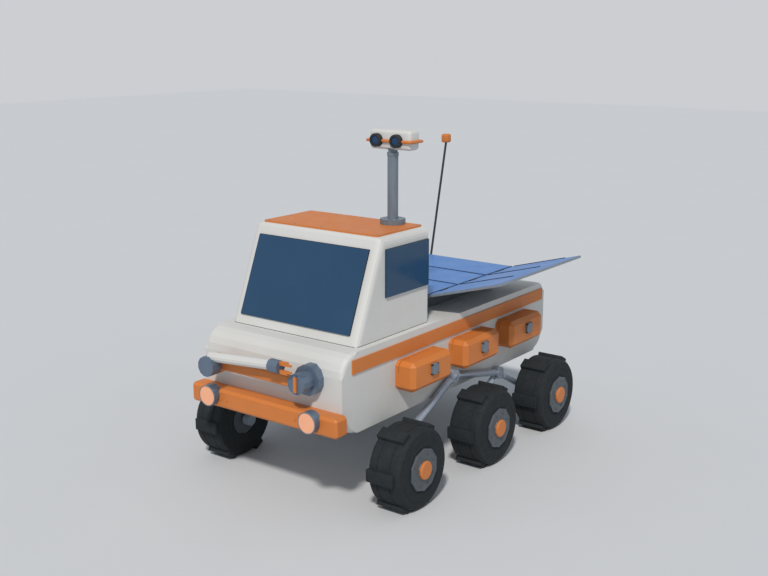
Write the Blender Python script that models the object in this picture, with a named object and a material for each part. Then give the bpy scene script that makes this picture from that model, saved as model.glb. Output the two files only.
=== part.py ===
"""Planetary rover: a six-wheeled crewed vehicle, modelled at full size in metres.

X is the rover's left, -Y its front and Z is up. The ground is at Z = 0, and the origin lies on the
ground under the middle of the whole vehicle. Lengths along the rover are measured from the nose.
"""
import math

import bmesh
import bpy
from mathutils import Matrix, Vector

# Clearances
SEAT = 0.0003              # between pieces that rest on each other
RUNNING = 0.0006           # between faces that turn or slide past each other
PIN_GAP = 0.0003           # between a pin's corners and the flats of its bore
LAP = 0.01                 # how far forms that are fused run into each other

# Hull: a side profile with round corners, as long as the hull and as wide as the track allows
HULL_LENGTH = 4.316
HULL_HALF_WIDTH = 1.0
HULL_BOTTOM = 0.915
DECK = 1.813
CORNER_ROUNDING = 0.25
TAIL_TOP_ROUNDING = 0.12
CORNER_SEGMENTS = 5
SIDE_ROUNDING = 0.05
SIDE_SEGMENTS = 4

# Reach of the arm ahead of the nose, and of the aerial behind the tail: they set the overall length
ARM_REACH = 0.391
AERIAL_OVERHANG = 0.208
NOSE = ARM_REACH - (HULL_LENGTH + ARM_REACH + AERIAL_OVERHANG) / 2
TAIL = NOSE + HULL_LENGTH

# Side stripe
STRIPE_BOTTOM = 1.584
STRIPE_HEIGHT = 0.152
STRIPE_PROUD = 0.014
STRIPE_START = 0.166
STRIPE_LENGTH = 4.083

# Bumper, on brackets under the round of the nose
BUMPER_HALF_LENGTH = 1.062
BUMPER_DEPTH = 0.18
BUMPER_BOTTOM = 0.971
BUMPER_HEIGHT = 0.22
BUMPER_CHAMFER = 0.03
BRACKET_SPREAD = 0.55
BRACKET_WIDTH = 0.2
BRACKET_DEPTH = 0.22
BRACKET_MARGIN = 0.05

# Headlamps on the bumper
LAMP_SPREAD = 0.731
LAMP_HEIGHT = 1.114
LAMP_RADIUS = 0.12
LAMP_LENGTH = 0.076
LAMP_SIDES = 16
LENS_RADIUS = 0.112
LENS_THICKNESS = 0.016
LENS_PROUD = 0.004

# Cab
CAB_HALF_WIDTH = 0.915
CAB_START = 0.355
CAB_END = 1.698
CAB_HEIGHT = 1.11          # above the deck
CAB_TOP = DECK + CAB_HEIGHT
CAB_RAKE = 0.4054          # how far the front leans back for each metre of height
CAB_WALL = 0.05
ROOF_ROUNDING = 0.08
ROOF_FRONT_ROUNDING = 0.035
ROOF_REAR_ROUNDING = 0.012
PILLAR_ROUNDING = 0.07
REAR_ROUNDING = 0.028
CAB_SEGMENTS = 4

# Roof plate
ROOF_HALF_WIDTH = 0.827
ROOF_FRONT_MARGIN = 0.037
ROOF_REAR_MARGIN = 0.014
ROOF_THICKNESS = 0.02
ROOF_CORNER = 0.02

# Glass, bonded on the outside of the walls
GLASS = 0.022
GLASS_LAP = 0.028          # how far a pane covers the wall round its opening
SCREEN_HALF_WIDTH = 0.794
SCREEN_SILL = 0.103        # above the deck
SCREEN_HEAD = 0.131        # below the cab's top
SCREEN_BOTTOM = DECK + SCREEN_SILL
SCREEN_TOP = CAB_TOP - SCREEN_HEAD
SIDE_GLASS_START = 0.865
SIDE_GLASS_END = 1.667
SIDE_GLASS_SILL = 0.451    # above the deck
SIDE_GLASS_HEAD = 0.129    # below the cab's top
SIDE_GLASS_BOTTOM = DECK + SIDE_GLASS_SILL
SIDE_GLASS_TOP = CAB_TOP - SIDE_GLASS_HEAD

# Wheels
TYRE_RADIUS = 0.455
TYRE_WIDTH = 0.4155
TYRE_SHOULDER = 0.03
TYRE_SIDES = 32
TYRE_BORE = 0.2
LUGS = 6
LUG_HEIGHT = 0.042
LUG_WIDTH = 0.14
LUG_OUTER_MARGIN = 0.055   # from the lugs' ends to the tyre's outer and inner face
LUG_INNER_MARGIN = 0.012
WHEEL_GAP = 0.1115         # from the hull's side to the tyres
FRONT_AXLE = 0.731
MIDDLE_AXLE = 2.307
REAR_AXLE = 3.817
HUB_RADIUS = 0.245
HUB_PLATE = 0.022
HUB_SIDES = 10
CAP_RADIUS = 0.106
CAP_LENGTH = 0.03
CAP_SIDES = 12
AXLE_RADIUS = 0.04
AXLE_SIDES = 24
AXLE_INSIDE = 0.2          # how far an axle runs into its hub
AXLE_END_GAP = 0.012

# Suspension: a rocker and a bogie on each side, in the gap between the hull and the wheels
LINK_GAP = 0.011           # to the hull's side and to the tyres
LINK_SIDES = 12
PIVOT_Y = 2.02
PIVOT_Z = 1.099
PIVOT_RADIUS = 0.085
BOGIE_PIVOT_Z = 0.874
BOGIE_BOSS = 0.078
BOGIE_LAP = 0.165          # radius round the bogie's pivot where rocker and bogie are half as thick
WHEEL_BOSS = 0.07
PIN_HEAD = 0.03
PIN_HEAD_HEIGHT = 0.005

# Side lockers, three on each side
LOCKER_FIRST = 1.327
LOCKER_SPACING = 1.066
LOCKER_COUNT = 3
LOCKER_LENGTH = 0.78
LOCKER_DEPTH = 0.25
LOCKER_BOTTOM = 1.204
LOCKER_TOP = 1.544
LOCKER_CHAMFER = 0.05
LOCKER_WALL = 0.02
LID_SEAM = 1.414
LID_GAP = 0.006            # between the lid's back edge and the strip behind it
HINGE_INSET = 0.05
HINGE_RADIUS = 0.008
HINGE_LENGTH = 0.09
LATCH_WIDTH = 0.12
LATCH_HEIGHT = 0.12
LATCH_RISE = 0.053         # how far the latch reaches up over the lid
LATCH_PROUD = 0.03

# Solar array over the rear deck
ARRAY_RISE = 0.231         # above the deck
ARRAY_TOP = DECK + ARRAY_RISE
ARRAY_START = 1.98
ARRAY_LENGTH = 1.99
ARRAY_FOLD = 0.72
PANEL_THICKNESS = 0.03
WING_WIDTH = 1.006
WING_ANGLE = math.radians(15.5)
FOLD_GAP = 0.004
FRAME_WIDTH = 0.035
CELL_DEPTH = 0.004
CELL_ROWS = 3
CELL_GAP = 0.016
KNUCKLE_RADIUS = 0.012
KNUCKLE_LENGTH = 0.08
KNUCKLE_SIDES = 10
KNUCKLES = 3
PEDESTAL_HALF_WIDTH = 0.55
PEDESTAL_START = 2.2
PEDESTAL_LENGTH = 1.55
PEDESTAL_CHAMFER = 0.03

# Camera mast on the roof
MAST_X = 0.52
MAST_Y = 1.54
FOOT_RADIUS = 0.146
FOOT_HEIGHT = 0.06
MAST_RADIUS = 0.0615
MAST_HEIGHT = 0.791        # above the cab's top
MAST_TOP = CAB_TOP + MAST_HEIGHT
MAST_SIDES = 16
COLLAR_RADIUS = 0.066
COLLAR_HEIGHT = 0.042
TANG_HALF_WIDTH = 0.04
TANG_HALF_DEPTH = 0.035
TILT_RISE = 0.12           # above the mast
TILT_HEIGHT = MAST_TOP + TILT_RISE
TANG_ABOVE = 0.03
TILT_PIN = 0.012
TILT_PIN_HALF_LENGTH = 0.07
HEAD_WIDTH = 0.55
HEAD_DEPTH = 0.19
HEAD_SETBACK = 0.03        # how far the head's middle lies behind the mast
HEAD_DROP = 0.047          # from the tilt axis to the head's underside
HEAD_HEIGHT = 0.222
HEAD_BOTTOM = TILT_HEIGHT - HEAD_DROP
HEAD_TOP = HEAD_BOTTOM + HEAD_HEIGHT
HEAD_CHAMFER = 0.022
POCKET_MARGIN = 0.006
TILT_LIMIT = math.radians(15)
EYE_SPREAD = 0.138
EYE_RISE = 0.056           # above the tilt axis
EYE_HEIGHT = TILT_HEIGHT + EYE_RISE
EYE_RADIUS = 0.075
EYE_LENGTH = 0.055
EYE_RIM = 0.014
EYE_RECESS = 0.012
EYE_SIDES = 14
BAND_HEIGHT = 0.04
BAND_RISE = 0.03           # above the tilt axis
BAND_BOTTOM = TILT_HEIGHT + BAND_RISE
BAND_PROUD = 0.03

# Aerial on the rear deck
AERIAL_INSET = 0.3         # from the hull's right side
AERIAL_FOOT_Y = 4.08
AERIAL_FOOT_RADIUS = 0.05
AERIAL_FOOT_HEIGHT = 0.03
ROD_RADIUS = 0.0125
AERIAL_TIP_WIDTH = 0.11
AERIAL_RISE = 1.74         # from the deck to the tip block
AERIAL_TIP_BOTTOM = DECK + AERIAL_RISE
AERIAL_TIP_HEIGHT = 0.12

# Sampling arm across the nose
SHOULDER_X = 0.594
ELBOW_X = -0.6
ARM_RISE = 0.319            # from the bumper's top to the arm's shoulder
BASE_DRUM_RADIUS = 0.17
BASE_DRUM_LENGTH = 0.091
DRUM_RADIUS = 0.116
DRUM_SIDES = 12
SHOULDER_DRUM_LENGTH = 0.17
UPPER_ARM_FRONT = 0.23
UPPER_ARM_THICKNESS = 0.06
UPPER_ARM_HEIGHT = 0.12
UPPER_ARM_CHAMFER = 0.012
RIB_WIDTH = 0.034
RIB_HEIGHT = 0.2
RIB_PROUD = 0.02
FOREARM_PLANE = 0.31
FOREARM_START_X = -0.6
FOREARM_START_RISE = 0.099
FOREARM_RADIUS = 0.055
WRIST_X = 0.2965
WRIST_RISE = 0.171
WRIST_RADIUS = 0.073
WRIST_LENGTH = 0.135
FINGER_LENGTH = 0.153
FINGER_SIZE = 0.042
FINGER_SPREAD = 0.047
FINGER_CHAMFER = 0.005
FINGER_TIP = 0.05

# Colours (red, green, blue), roughness and metallic value of each finish
FINISHES = {
    "white_paint": ((0.78, 0.78, 0.77), 0.5, 0.0),
    "orange_paint": ((0.72, 0.27, 0.07), 0.5, 0.0),
    "steel": ((0.19, 0.22, 0.25), 0.45, 0.6),
    "dark_metal": ((0.10, 0.12, 0.14), 0.5, 0.5),
    "rubber": ((0.03, 0.033, 0.036), 0.85, 0.0),
    "tinted_glass": ((0.03, 0.09, 0.16), 0.12, 0.0),
    "lamp_glass": ((0.86, 0.44, 0.28), 0.3, 0.0),
    "solar_cells": ((0.14, 0.28, 0.62), 0.35, 0.1),
}

SIDES = (("left", 1), ("right", -1))
# name, distance of the axle behind the nose
AXLES = (("front", FRONT_AXLE), ("middle", MIDDLE_AXLE), ("rear", REAR_AXLE))


def clear_scene():
    """Removes every object, so that the model starts from nothing."""
    for thing in list(bpy.data.objects):
        bpy.data.objects.remove(thing, do_unlink=True)


def finish(name):
    """Returns the named material, made at its first use."""
    if name in bpy.data.materials:
        return bpy.data.materials[name]
    colour, roughness, metallic = FINISHES[name]
    material = bpy.data.materials.new(name)
    material.use_nodes = True
    shader = material.node_tree.nodes["Principled BSDF"]
    shader.inputs["Base Color"].default_value = (*colour, 1.0)
    shader.inputs["Roughness"].default_value = roughness
    shader.inputs["Metallic"].default_value = metallic
    return material


def along(distance):
    """Y of a point that lies this far behind the nose."""
    return NOSE + distance


def shape_object(name, shape):
    """Turns a bmesh into an object in the scene."""
    bmesh.ops.recalc_face_normals(shape, faces=shape.faces)
    mesh = bpy.data.meshes.new(name)
    shape.to_mesh(mesh)
    shape.free()
    thing = bpy.data.objects.new(name, mesh)
    bpy.context.scene.collection.objects.link(thing)
    return thing


def combine(shape, others, operation):
    """Joins or cuts a bmesh with others, by exact Booleans, and returns the result."""
    body = shape_object("work", shape)
    tools = [shape_object("tool", other) for other in others]
    for tool in tools:
        step = body.modifiers.new("step", "BOOLEAN")
        step.operation = operation
        step.solver = "EXACT"
        step.object = tool
    bpy.context.view_layer.update()
    evaluated = body.evaluated_get(bpy.context.evaluated_depsgraph_get())
    result = bmesh.new()
    result.from_mesh(evaluated.to_mesh())
    evaluated.to_mesh_clear()
    for thing in [body, *tools]:
        bpy.data.objects.remove(thing, do_unlink=True)
    return result


def fused(shape, *others):
    """Joins shapes that run into each other into one body."""
    return combine(shape, others, "UNION")


def cut(shape, *others):
    """Takes shapes away from a body."""
    return combine(shape, others, "DIFFERENCE")


def kept(shape, other):
    """Keeps what lies inside both shapes."""
    return combine(shape, [other], "INTERSECT")


def node(name, shape, material, pivot=(0.0, 0.0, 0.0), parent=None, smooth=math.radians(25)):
    """Makes a named sub-part with its origin at its pivot, and returns its object."""
    bmesh.ops.translate(shape, verts=shape.verts, vec=-Vector(pivot))
    thing = shape_object(name, shape)
    thing.location = pivot
    thing.data.materials.append(finish(material))
    thing.data.shade_smooth()
    thing.data.set_sharp_from_angle(angle=smooth)
    if parent:
        attach(thing, parent)
    return thing


def attach(thing, parent):
    """Parents an object and leaves it where it is."""
    bpy.context.view_layer.update()
    thing.parent = parent
    thing.matrix_parent_inverse = parent.matrix_world.inverted()


def pivot(name, place, parent=None):
    """Makes an empty on a joint's axis."""
    empty = bpy.data.objects.new(name, None)
    empty.location = place
    bpy.context.scene.collection.objects.link(empty)
    if parent:
        attach(empty, parent)
    return empty


def box(low, high):
    """A plain box between two corners."""
    shape = bmesh.new()
    bmesh.ops.create_cube(shape, size=1.0)
    size = [b - a for a, b in zip(low, high)]
    centre = [(a + b) / 2 for a, b in zip(low, high)]
    bmesh.ops.scale(shape, verts=shape.verts, vec=size)
    bmesh.ops.translate(shape, verts=shape.verts, vec=centre)
    return shape


def bevelled(shape, width, segments=1, test=None):
    """Rounds or chamfers the sharp edges of a shape, or only those that pass a test."""
    edges = [e for e in shape.edges if e.calc_face_angle(0.0) > math.radians(20)]
    if test:
        edges = [e for e in edges if test(e)]
    bmesh.ops.bevel(shape, geom=edges, offset=width, segments=segments, profile=0.5,
                    affect="EDGES", offset_type="OFFSET", clamp_overlap=True)
    return shape


def prism(outline, start, end, axis="X"):
    """Extrudes an outline along an axis. Its points are (y, z) for X, (x, z) for Y and (x, y) for Z."""
    place = {
        "X": lambda a, b, c: (c, a, b),
        "Y": lambda a, b, c: (a, c, b),
        "Z": lambda a, b, c: (a, b, c),
    }[axis]
    shape = bmesh.new()
    rings = [[shape.verts.new(place(a, b, c)) for a, b in outline] for c in (start, end)]
    shape.faces.new(rings[0])
    shape.faces.new(rings[1])
    count = len(outline)
    for i in range(count):
        j = (i + 1) % count
        shape.faces.new((rings[0][i], rings[0][j], rings[1][j], rings[1][i]))
    return shape


def polygon(radius, sides, centre=(0.0, 0.0), turn=0.5):
    """Points round a circle. A turn of 0.5 puts a flat, and not a corner, at the first place."""
    step = 2 * math.pi / sides
    return [(centre[0] + radius * math.cos((i + turn) * step),
             centre[1] + radius * math.sin((i + turn) * step)) for i in range(sides)]


def drum(radius, sides, centre, start, end, axis):
    """A straight drum round an axis."""
    return prism(polygon(radius, sides, centre), start, end, axis)


def bore_radius(pin_radius, sides):
    """Radius of a many-sided bore whose flats clear a pin that turns in it."""
    return (pin_radius + PIN_GAP) / math.cos(math.pi / sides)


def turned(profile, sides, centre, axis="X"):
    """Turns a closed profile of (distance along the axis, radius) round the axis."""
    shape = bmesh.new()
    rings = []
    for distance, radius in profile:
        ring = []
        for a, b in polygon(radius, sides, centre):
            ring.append(shape.verts.new((distance, a, b) if axis == "X" else (a, distance, b)))
        rings.append(ring)
    count = len(rings)
    for i in range(count):
        near, far = rings[i], rings[(i + 1) % count]
        for k in range(sides):
            m = (k + 1) % sides
            shape.faces.new((near[k], near[m], far[m], far[k]))
    return shape


def tube_between(start, end, radius, sides):
    """A straight round bar between two points."""
    start, end = Vector(start), Vector(end)
    line = end - start
    shape = bmesh.new()
    bmesh.ops.create_cone(shape, cap_ends=True, segments=sides, radius1=radius, radius2=radius,
                          depth=line.length)
    turn = line.to_track_quat("Z", "Y").to_matrix().to_4x4()
    bmesh.ops.transform(shape, matrix=Matrix.Translation((start + end) / 2) @ turn, verts=shape.verts)
    return shape


def mirrored(shape, sign):
    """Swaps left and right when the sign is negative."""
    if sign < 0:
        bmesh.ops.scale(shape, verts=shape.verts, vec=(-1.0, 1.0, 1.0))
    return shape


def hull_profile(grow):
    """Side view of the hull with its round corners, as (y, z) points."""
    front, back = NOSE - grow, TAIL + grow
    low, high = HULL_BOTTOM - grow, DECK + grow
    # corner's y and z, rounding, first angle of its arc
    corners = (
        (front, high, CORNER_ROUNDING + grow, 90.0),
        (front, low, CORNER_ROUNDING + grow, 180.0),
        (back, low, CORNER_ROUNDING + grow, 270.0),
        (back, high, TAIL_TOP_ROUNDING + grow, 0.0),
    )
    points = []
    for y, z, radius, first in corners:
        centre_y = y + math.copysign(radius, -y)
        centre_z = z + (radius if z == low else -radius)
        for i in range(CORNER_SEGMENTS + 1):
            angle = math.radians(first + 90.0 * i / CORNER_SEGMENTS)
            points.append((centre_y + radius * math.cos(angle), centre_z + radius * math.sin(angle)))
    return points


def hull_form(grow=0.0):
    """The rounded hull, or the same form grown all round to cut a seat for it."""
    half = HULL_HALF_WIDTH + grow
    shape = prism(hull_profile(grow), -half, half)
    rims = [e for e in shape.edges if abs(e.verts[0].co.x - e.verts[1].co.x) < half]
    bmesh.ops.bevel(shape, geom=rims, offset=SIDE_ROUNDING + grow, segments=SIDE_SEGMENTS, profile=0.5,
                    affect="EDGES", offset_type="OFFSET", clamp_overlap=True)
    return shape


def bumper_front():
    """Y of the bumper's front face."""
    return NOSE - SEAT - BUMPER_DEPTH


def bumper_form(grow=0.0):
    """The chamfered bumper bar, or the same form grown all round. Its back stays flat."""
    front, back = bumper_front() - grow, NOSE - SEAT + grow
    shape = box((-BUMPER_HALF_LENGTH - grow, front, BUMPER_BOTTOM - grow),
                (BUMPER_HALF_LENGTH + grow, back, BUMPER_BOTTOM + BUMPER_HEIGHT + grow))
    middle = (front + back) / 2
    return bevelled(shape, BUMPER_CHAMFER, 1, lambda e: min(v.co.y for v in e.verts) < middle)


def build_hull():
    """The hull and its side stripes."""
    node("hull", hull_form(), "white_paint")
    for side, sign in SIDES:
        bar = box((HULL_HALF_WIDTH + SEAT, along(STRIPE_START), STRIPE_BOTTOM),
                  (HULL_HALF_WIDTH + STRIPE_PROUD, along(STRIPE_START + STRIPE_LENGTH),
                   STRIPE_BOTTOM + STRIPE_HEIGHT))
        node(f"stripe_{side}", mirrored(bar, sign), "orange_paint")


def build_bumper():
    """The bumper on its brackets and its two headlamps, each with its lens."""
    brackets = []
    for _, sign in SIDES:
        bracket = box((BRACKET_SPREAD - BRACKET_WIDTH / 2, NOSE - BRACKET_MARGIN, BUMPER_BOTTOM + BRACKET_MARGIN),
                      (BRACKET_SPREAD + BRACKET_WIDTH / 2, NOSE + BRACKET_DEPTH,
                       BUMPER_BOTTOM + BUMPER_HEIGHT - BRACKET_MARGIN / 2))
        brackets.append(mirrored(cut(bracket, hull_form(SEAT)), sign))
    node("bumper", fused(bumper_form(), *brackets), "orange_paint")
    face = bumper_front()
    front = face - LAMP_LENGTH
    for side, sign in SIDES:
        centre = (sign * LAMP_SPREAD, LAMP_HEIGHT)
        body = drum(LAMP_RADIUS, LAMP_SIDES, centre, front, face + BUMPER_CHAMFER, "Y")
        seat = drum(LENS_RADIUS + SEAT, LAMP_SIDES, centre, front - LAP,
                    front + LENS_THICKNESS - LENS_PROUD + SEAT, "Y")
        node(f"lamp_{side}", cut(body, seat, bumper_form(SEAT)), "steel")
        lens = drum(LENS_RADIUS, LAMP_SIDES, centre, front - LENS_PROUD,
                    front - LENS_PROUD + LENS_THICKNESS, "Y")
        node(f"lamp_lens_{side}", lens, "lamp_glass")


def cab_outline(inset, bottom):
    """Side view of the cab, drawn this far inside its outer faces."""
    slope = CAB_RAKE
    shift = inset * math.sqrt(1 + slope * slope)
    top = CAB_TOP - inset
    return [(along(CAB_START) + shift + slope * (bottom - DECK), bottom),
            (along(CAB_START) + shift + slope * (top - DECK), top),
            (along(CAB_END) - inset, top),
            (along(CAB_END) - inset, bottom)]


def screen_frame():
    """Matrix of the windscreen plane: X across, Y up the slope, Z out of the front."""
    up = Vector((0.0, CAB_RAKE, 1.0)).normalized()
    across = Vector((1.0, 0.0, 0.0))
    out = across.cross(up)
    middle = (SCREEN_BOTTOM + SCREEN_TOP) / 2
    origin = Vector((0.0, along(CAB_START) + CAB_RAKE * (middle - DECK), middle))
    turn = Matrix((across, up, out)).transposed().to_4x4()
    return Matrix.Translation(origin) @ turn


def screen_slab(margin, inner, outer):
    """A slab in the windscreen's plane, from the inner to the outer distance off the wall."""
    half_height = (SCREEN_TOP - SCREEN_BOTTOM) / 2 * math.sqrt(1 + CAB_RAKE * CAB_RAKE)
    shape = box((-SCREEN_HALF_WIDTH + margin, -half_height + margin, inner),
                (SCREEN_HALF_WIDTH - margin, half_height - margin, outer))
    bmesh.ops.transform(shape, matrix=screen_frame(), verts=shape.verts)
    return shape


def side_slab(margin, inner, outer):
    """A slab in the plane of a side window."""
    return box((inner, along(SIDE_GLASS_START) + margin, SIDE_GLASS_BOTTOM + margin),
               (outer, along(SIDE_GLASS_END) - margin, SIDE_GLASS_TOP - margin))


def build_cab():
    """The hollow cab with its window openings, its roof plate and its glass."""
    base = DECK + SEAT
    shell = prism(cab_outline(0.0, base), -CAB_HALF_WIDTH, CAB_HALF_WIDTH)
    rear = along(CAB_END)

    def is_roof(edge):
        return all(abs(v.co.z - CAB_TOP) < 1e-5 for v in edge.verts)

    def is_roof_front(edge):
        return is_roof(edge) and all(v.co.y < rear - 0.5 for v in edge.verts)

    def is_roof_rear(edge):
        return is_roof(edge) and all(abs(v.co.y - rear) < 1e-5 for v in edge.verts)

    def is_rear_post(edge):
        return all(abs(v.co.y - rear) < 1e-5 and abs(abs(v.co.x) - CAB_HALF_WIDTH) < 1e-5
                   for v in edge.verts)

    def is_pillar(edge):
        return (abs(edge.verts[0].co.z - edge.verts[1].co.z) > (CAB_TOP - DECK) / 3
                and not is_rear_post(edge))

    # later rows win over earlier ones
    bevel_widths = ((is_roof, ROOF_ROUNDING), (is_roof_front, ROOF_FRONT_ROUNDING),
                    (is_roof_rear, ROOF_REAR_ROUNDING), (is_pillar, PILLAR_ROUNDING),
                    (is_rear_post, REAR_ROUNDING))
    layer = shell.edges.layers.float.new("bevel_weight_edge")
    for edge in shell.edges:
        for test, width in bevel_widths:
            if test(edge):
                edge[layer] = width / ROOF_ROUNDING
    outer = shape_object("work", shell)
    rounding = outer.modifiers.new("rounding", "BEVEL")
    rounding.limit_method = "WEIGHT"
    rounding.width = ROOF_ROUNDING
    rounding.segments = CAB_SEGMENTS
    bpy.context.view_layer.update()
    shell = bmesh.new()
    shell.from_mesh(outer.evaluated_get(bpy.context.evaluated_depsgraph_get()).to_mesh())
    bpy.data.objects.remove(outer, do_unlink=True)

    inside = prism(cab_outline(CAB_WALL, base - LAP), CAB_WALL - CAB_HALF_WIDTH, CAB_HALF_WIDTH - CAB_WALL)
    openings = [screen_slab(GLASS_LAP, -3 * CAB_WALL, CAB_WALL)]
    for _, sign in SIDES:
        openings.append(mirrored(side_slab(GLASS_LAP, CAB_HALF_WIDTH - 2 * CAB_WALL,
                                           CAB_HALF_WIDTH + CAB_WALL), sign))
    node("cab", cut(shell, inside, *openings), "white_paint")

    top_front = CAB_START + CAB_RAKE * (CAB_TOP - DECK)
    plate = box((-ROOF_HALF_WIDTH, along(top_front + ROOF_FRONT_MARGIN), CAB_TOP + SEAT),
                (ROOF_HALF_WIDTH, along(CAB_END - ROOF_REAR_MARGIN), CAB_TOP + SEAT + ROOF_THICKNESS))
    upright = lambda e: abs(e.verts[0].co.z - e.verts[1].co.z) > ROOF_THICKNESS / 2
    node("roof_plate", bevelled(plate, ROOF_CORNER, 2, upright), "orange_paint")

    node("windscreen", screen_slab(0.0, SEAT, SEAT + GLASS), "tinted_glass")
    for side, sign in SIDES:
        pane = side_slab(0.0, CAB_HALF_WIDTH + SEAT, CAB_HALF_WIDTH + SEAT + GLASS)
        node(f"side_window_{side}", mirrored(pane, sign), "tinted_glass")


def wheel_height():
    """Height of the wheels' centres: each stands on a corner of its two lowest lugs."""
    half_step = math.pi / LUGS
    return (TYRE_RADIUS + LUG_HEIGHT) * math.cos(half_step) + LUG_WIDTH / 2 * math.sin(half_step)


def tyre_form():
    """A tyre round the X axis, with its outer face at X = 0 and its lugs fused on."""
    half = TYRE_SHOULDER
    profile = [(0.0, TYRE_BORE), (0.0, TYRE_RADIUS - half), (-half, TYRE_RADIUS),
               (half - TYRE_WIDTH, TYRE_RADIUS), (-TYRE_WIDTH, TYRE_RADIUS - half),
               (-TYRE_WIDTH, TYRE_BORE)]
    ring = turned(profile, TYRE_SIDES, (0.0, 0.0))
    lugs = []
    for i in range(LUGS):
        lug = box((LUG_INNER_MARGIN - TYRE_WIDTH, -LUG_WIDTH / 2, -TYRE_RADIUS - LUG_HEIGHT),
                  (-LUG_OUTER_MARGIN, LUG_WIDTH / 2, -TYRE_RADIUS + 2 * LAP))
        turn = Matrix.Rotation(2 * math.pi * (i + 0.5) / LUGS, 3, "X")
        bmesh.ops.rotate(lug, verts=lug.verts, cent=(0.0, 0.0, 0.0), matrix=turn)
        lugs.append(lug)
    return fused(ring, *lugs)


def hub_form():
    """A hub round the X axis, to the same face as the tyre: barrel, ten-sided plate, cap and bore."""
    barrel = drum(TYRE_BORE - SEAT, TYRE_SIDES, (0.0, 0.0), -TYRE_WIDTH, LAP, "X")
    plate = drum(HUB_RADIUS, HUB_SIDES, (0.0, 0.0), SEAT, HUB_PLATE, "X")
    cap = drum(CAP_RADIUS, CAP_SIDES, (0.0, 0.0), HUB_PLATE - LAP, HUB_PLATE + CAP_LENGTH, "X")
    cap = bevelled(cap, LAP, 1, lambda e: all(v.co.x > HUB_PLATE for v in e.verts))
    bore = drum(bore_radius(AXLE_RADIUS, AXLE_SIDES), AXLE_SIDES, (0.0, 0.0),
                -TYRE_WIDTH - LAP, -TYRE_WIDTH + AXLE_INSIDE + AXLE_END_GAP, "X")
    return cut(fused(barrel, plate, cap), bore)


def build_wheels():
    """Six wheels, each a tyre and a hub that turn together on one pivot."""
    face = HULL_HALF_WIDTH + WHEEL_GAP + TYRE_WIDTH
    for side, sign in SIDES:
        tyre_mesh = hub_mesh = None
        for axle, distance in AXLES:
            place = (sign * face, along(distance), wheel_height())
            empty = pivot(f"axle_{axle}_{side}", place)
            if tyre_mesh is None:
                tyre = node(f"tyre_{axle}_{side}", mirrored(tyre_form(), sign), "rubber")
                hub = node(f"hub_{axle}_{side}", mirrored(hub_form(), sign), "steel")
                tyre_mesh, hub_mesh = tyre.data, hub.data
            else:
                tyre = bpy.data.objects.new(f"tyre_{axle}_{side}", tyre_mesh)
                hub = bpy.data.objects.new(f"hub_{axle}_{side}", hub_mesh)
                for thing in (tyre, hub):
                    bpy.context.scene.collection.objects.link(thing)
            for thing in (tyre, hub):
                thing.location = place
                attach(thing, empty)


def build_suspension():
    """A rocker and a bogie on each side, with the axles that the wheels turn on."""
    inner = HULL_HALF_WIDTH + LINK_GAP
    tyre_side = HULL_HALF_WIDTH + WHEEL_GAP
    outer = tyre_side - LINK_GAP
    middle = (inner + outer) / 2
    hub_z = wheel_height()
    bogie_pivot = ((MIDDLE_AXLE + REAR_AXLE) / 2, BOGIE_PIVOT_Z)
    radius = (outer - inner) / 2

    def link(a, b):
        return tube_between((middle, along(a[0]), a[1]), (middle, along(b[0]), b[1]), radius, LINK_SIDES)

    def boss(point, size, start, end):
        return drum(size, LINK_SIDES, (along(point[0]), point[1]), start, end, "X")

    def wheel_end(distance):
        point = (distance, hub_z)
        return [boss(point, WHEEL_BOSS, inner, outer),
                boss(point, AXLE_RADIUS, outer - LAP, tyre_side + AXLE_INSIDE)]

    for side, sign in SIDES:
        pivot_point = (PIVOT_Y, PIVOT_Z)
        rocker = fused(boss(pivot_point, PIVOT_RADIUS, HULL_HALF_WIDTH + SEAT, outer),
                       link(pivot_point, (FRONT_AXLE, hub_z)), link(pivot_point, bogie_pivot),
                       boss(bogie_pivot, BOGIE_BOSS, middle, outer),
                       boss(bogie_pivot, PIN_HEAD, outer - LAP, outer + PIN_HEAD_HEIGHT),
                       *wheel_end(FRONT_AXLE))
        rocker = cut(rocker, boss(bogie_pivot, BOGIE_LAP, inner - LAP, middle))
        node(f"rocker_{side}", mirrored(rocker, sign), "steel")
        bogie = fused(boss(bogie_pivot, BOGIE_BOSS, inner, middle - SEAT),
                      link(bogie_pivot, (MIDDLE_AXLE, hub_z)), link(bogie_pivot, (REAR_AXLE, hub_z)),
                      *wheel_end(MIDDLE_AXLE), *wheel_end(REAR_AXLE))
        bogie = cut(bogie, boss(bogie_pivot, BOGIE_LAP, middle - SEAT, outer + LAP))
        node(f"bogie_{side}", mirrored(bogie, sign), "steel")


def locker_hinge():
    """X and Z of a locker lid's hinge line, on the left side."""
    return (HULL_HALF_WIDTH + HINGE_INSET, LOCKER_TOP)


def locker_form(start, end, inset=0.0):
    """A locker's chamfered block, or the same form drawn inside its walls."""
    inner, outer = HULL_HALF_WIDTH + SEAT + inset, HULL_HALF_WIDTH + LOCKER_DEPTH - inset
    block = box((inner, start + inset, LOCKER_BOTTOM + inset), (outer, end - inset, LOCKER_TOP - inset))
    return bevelled(block, LOCKER_CHAMFER - inset / 2, 1,
                    lambda e: max(v.co.x for v in e.verts) > outer - LAP)


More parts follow.
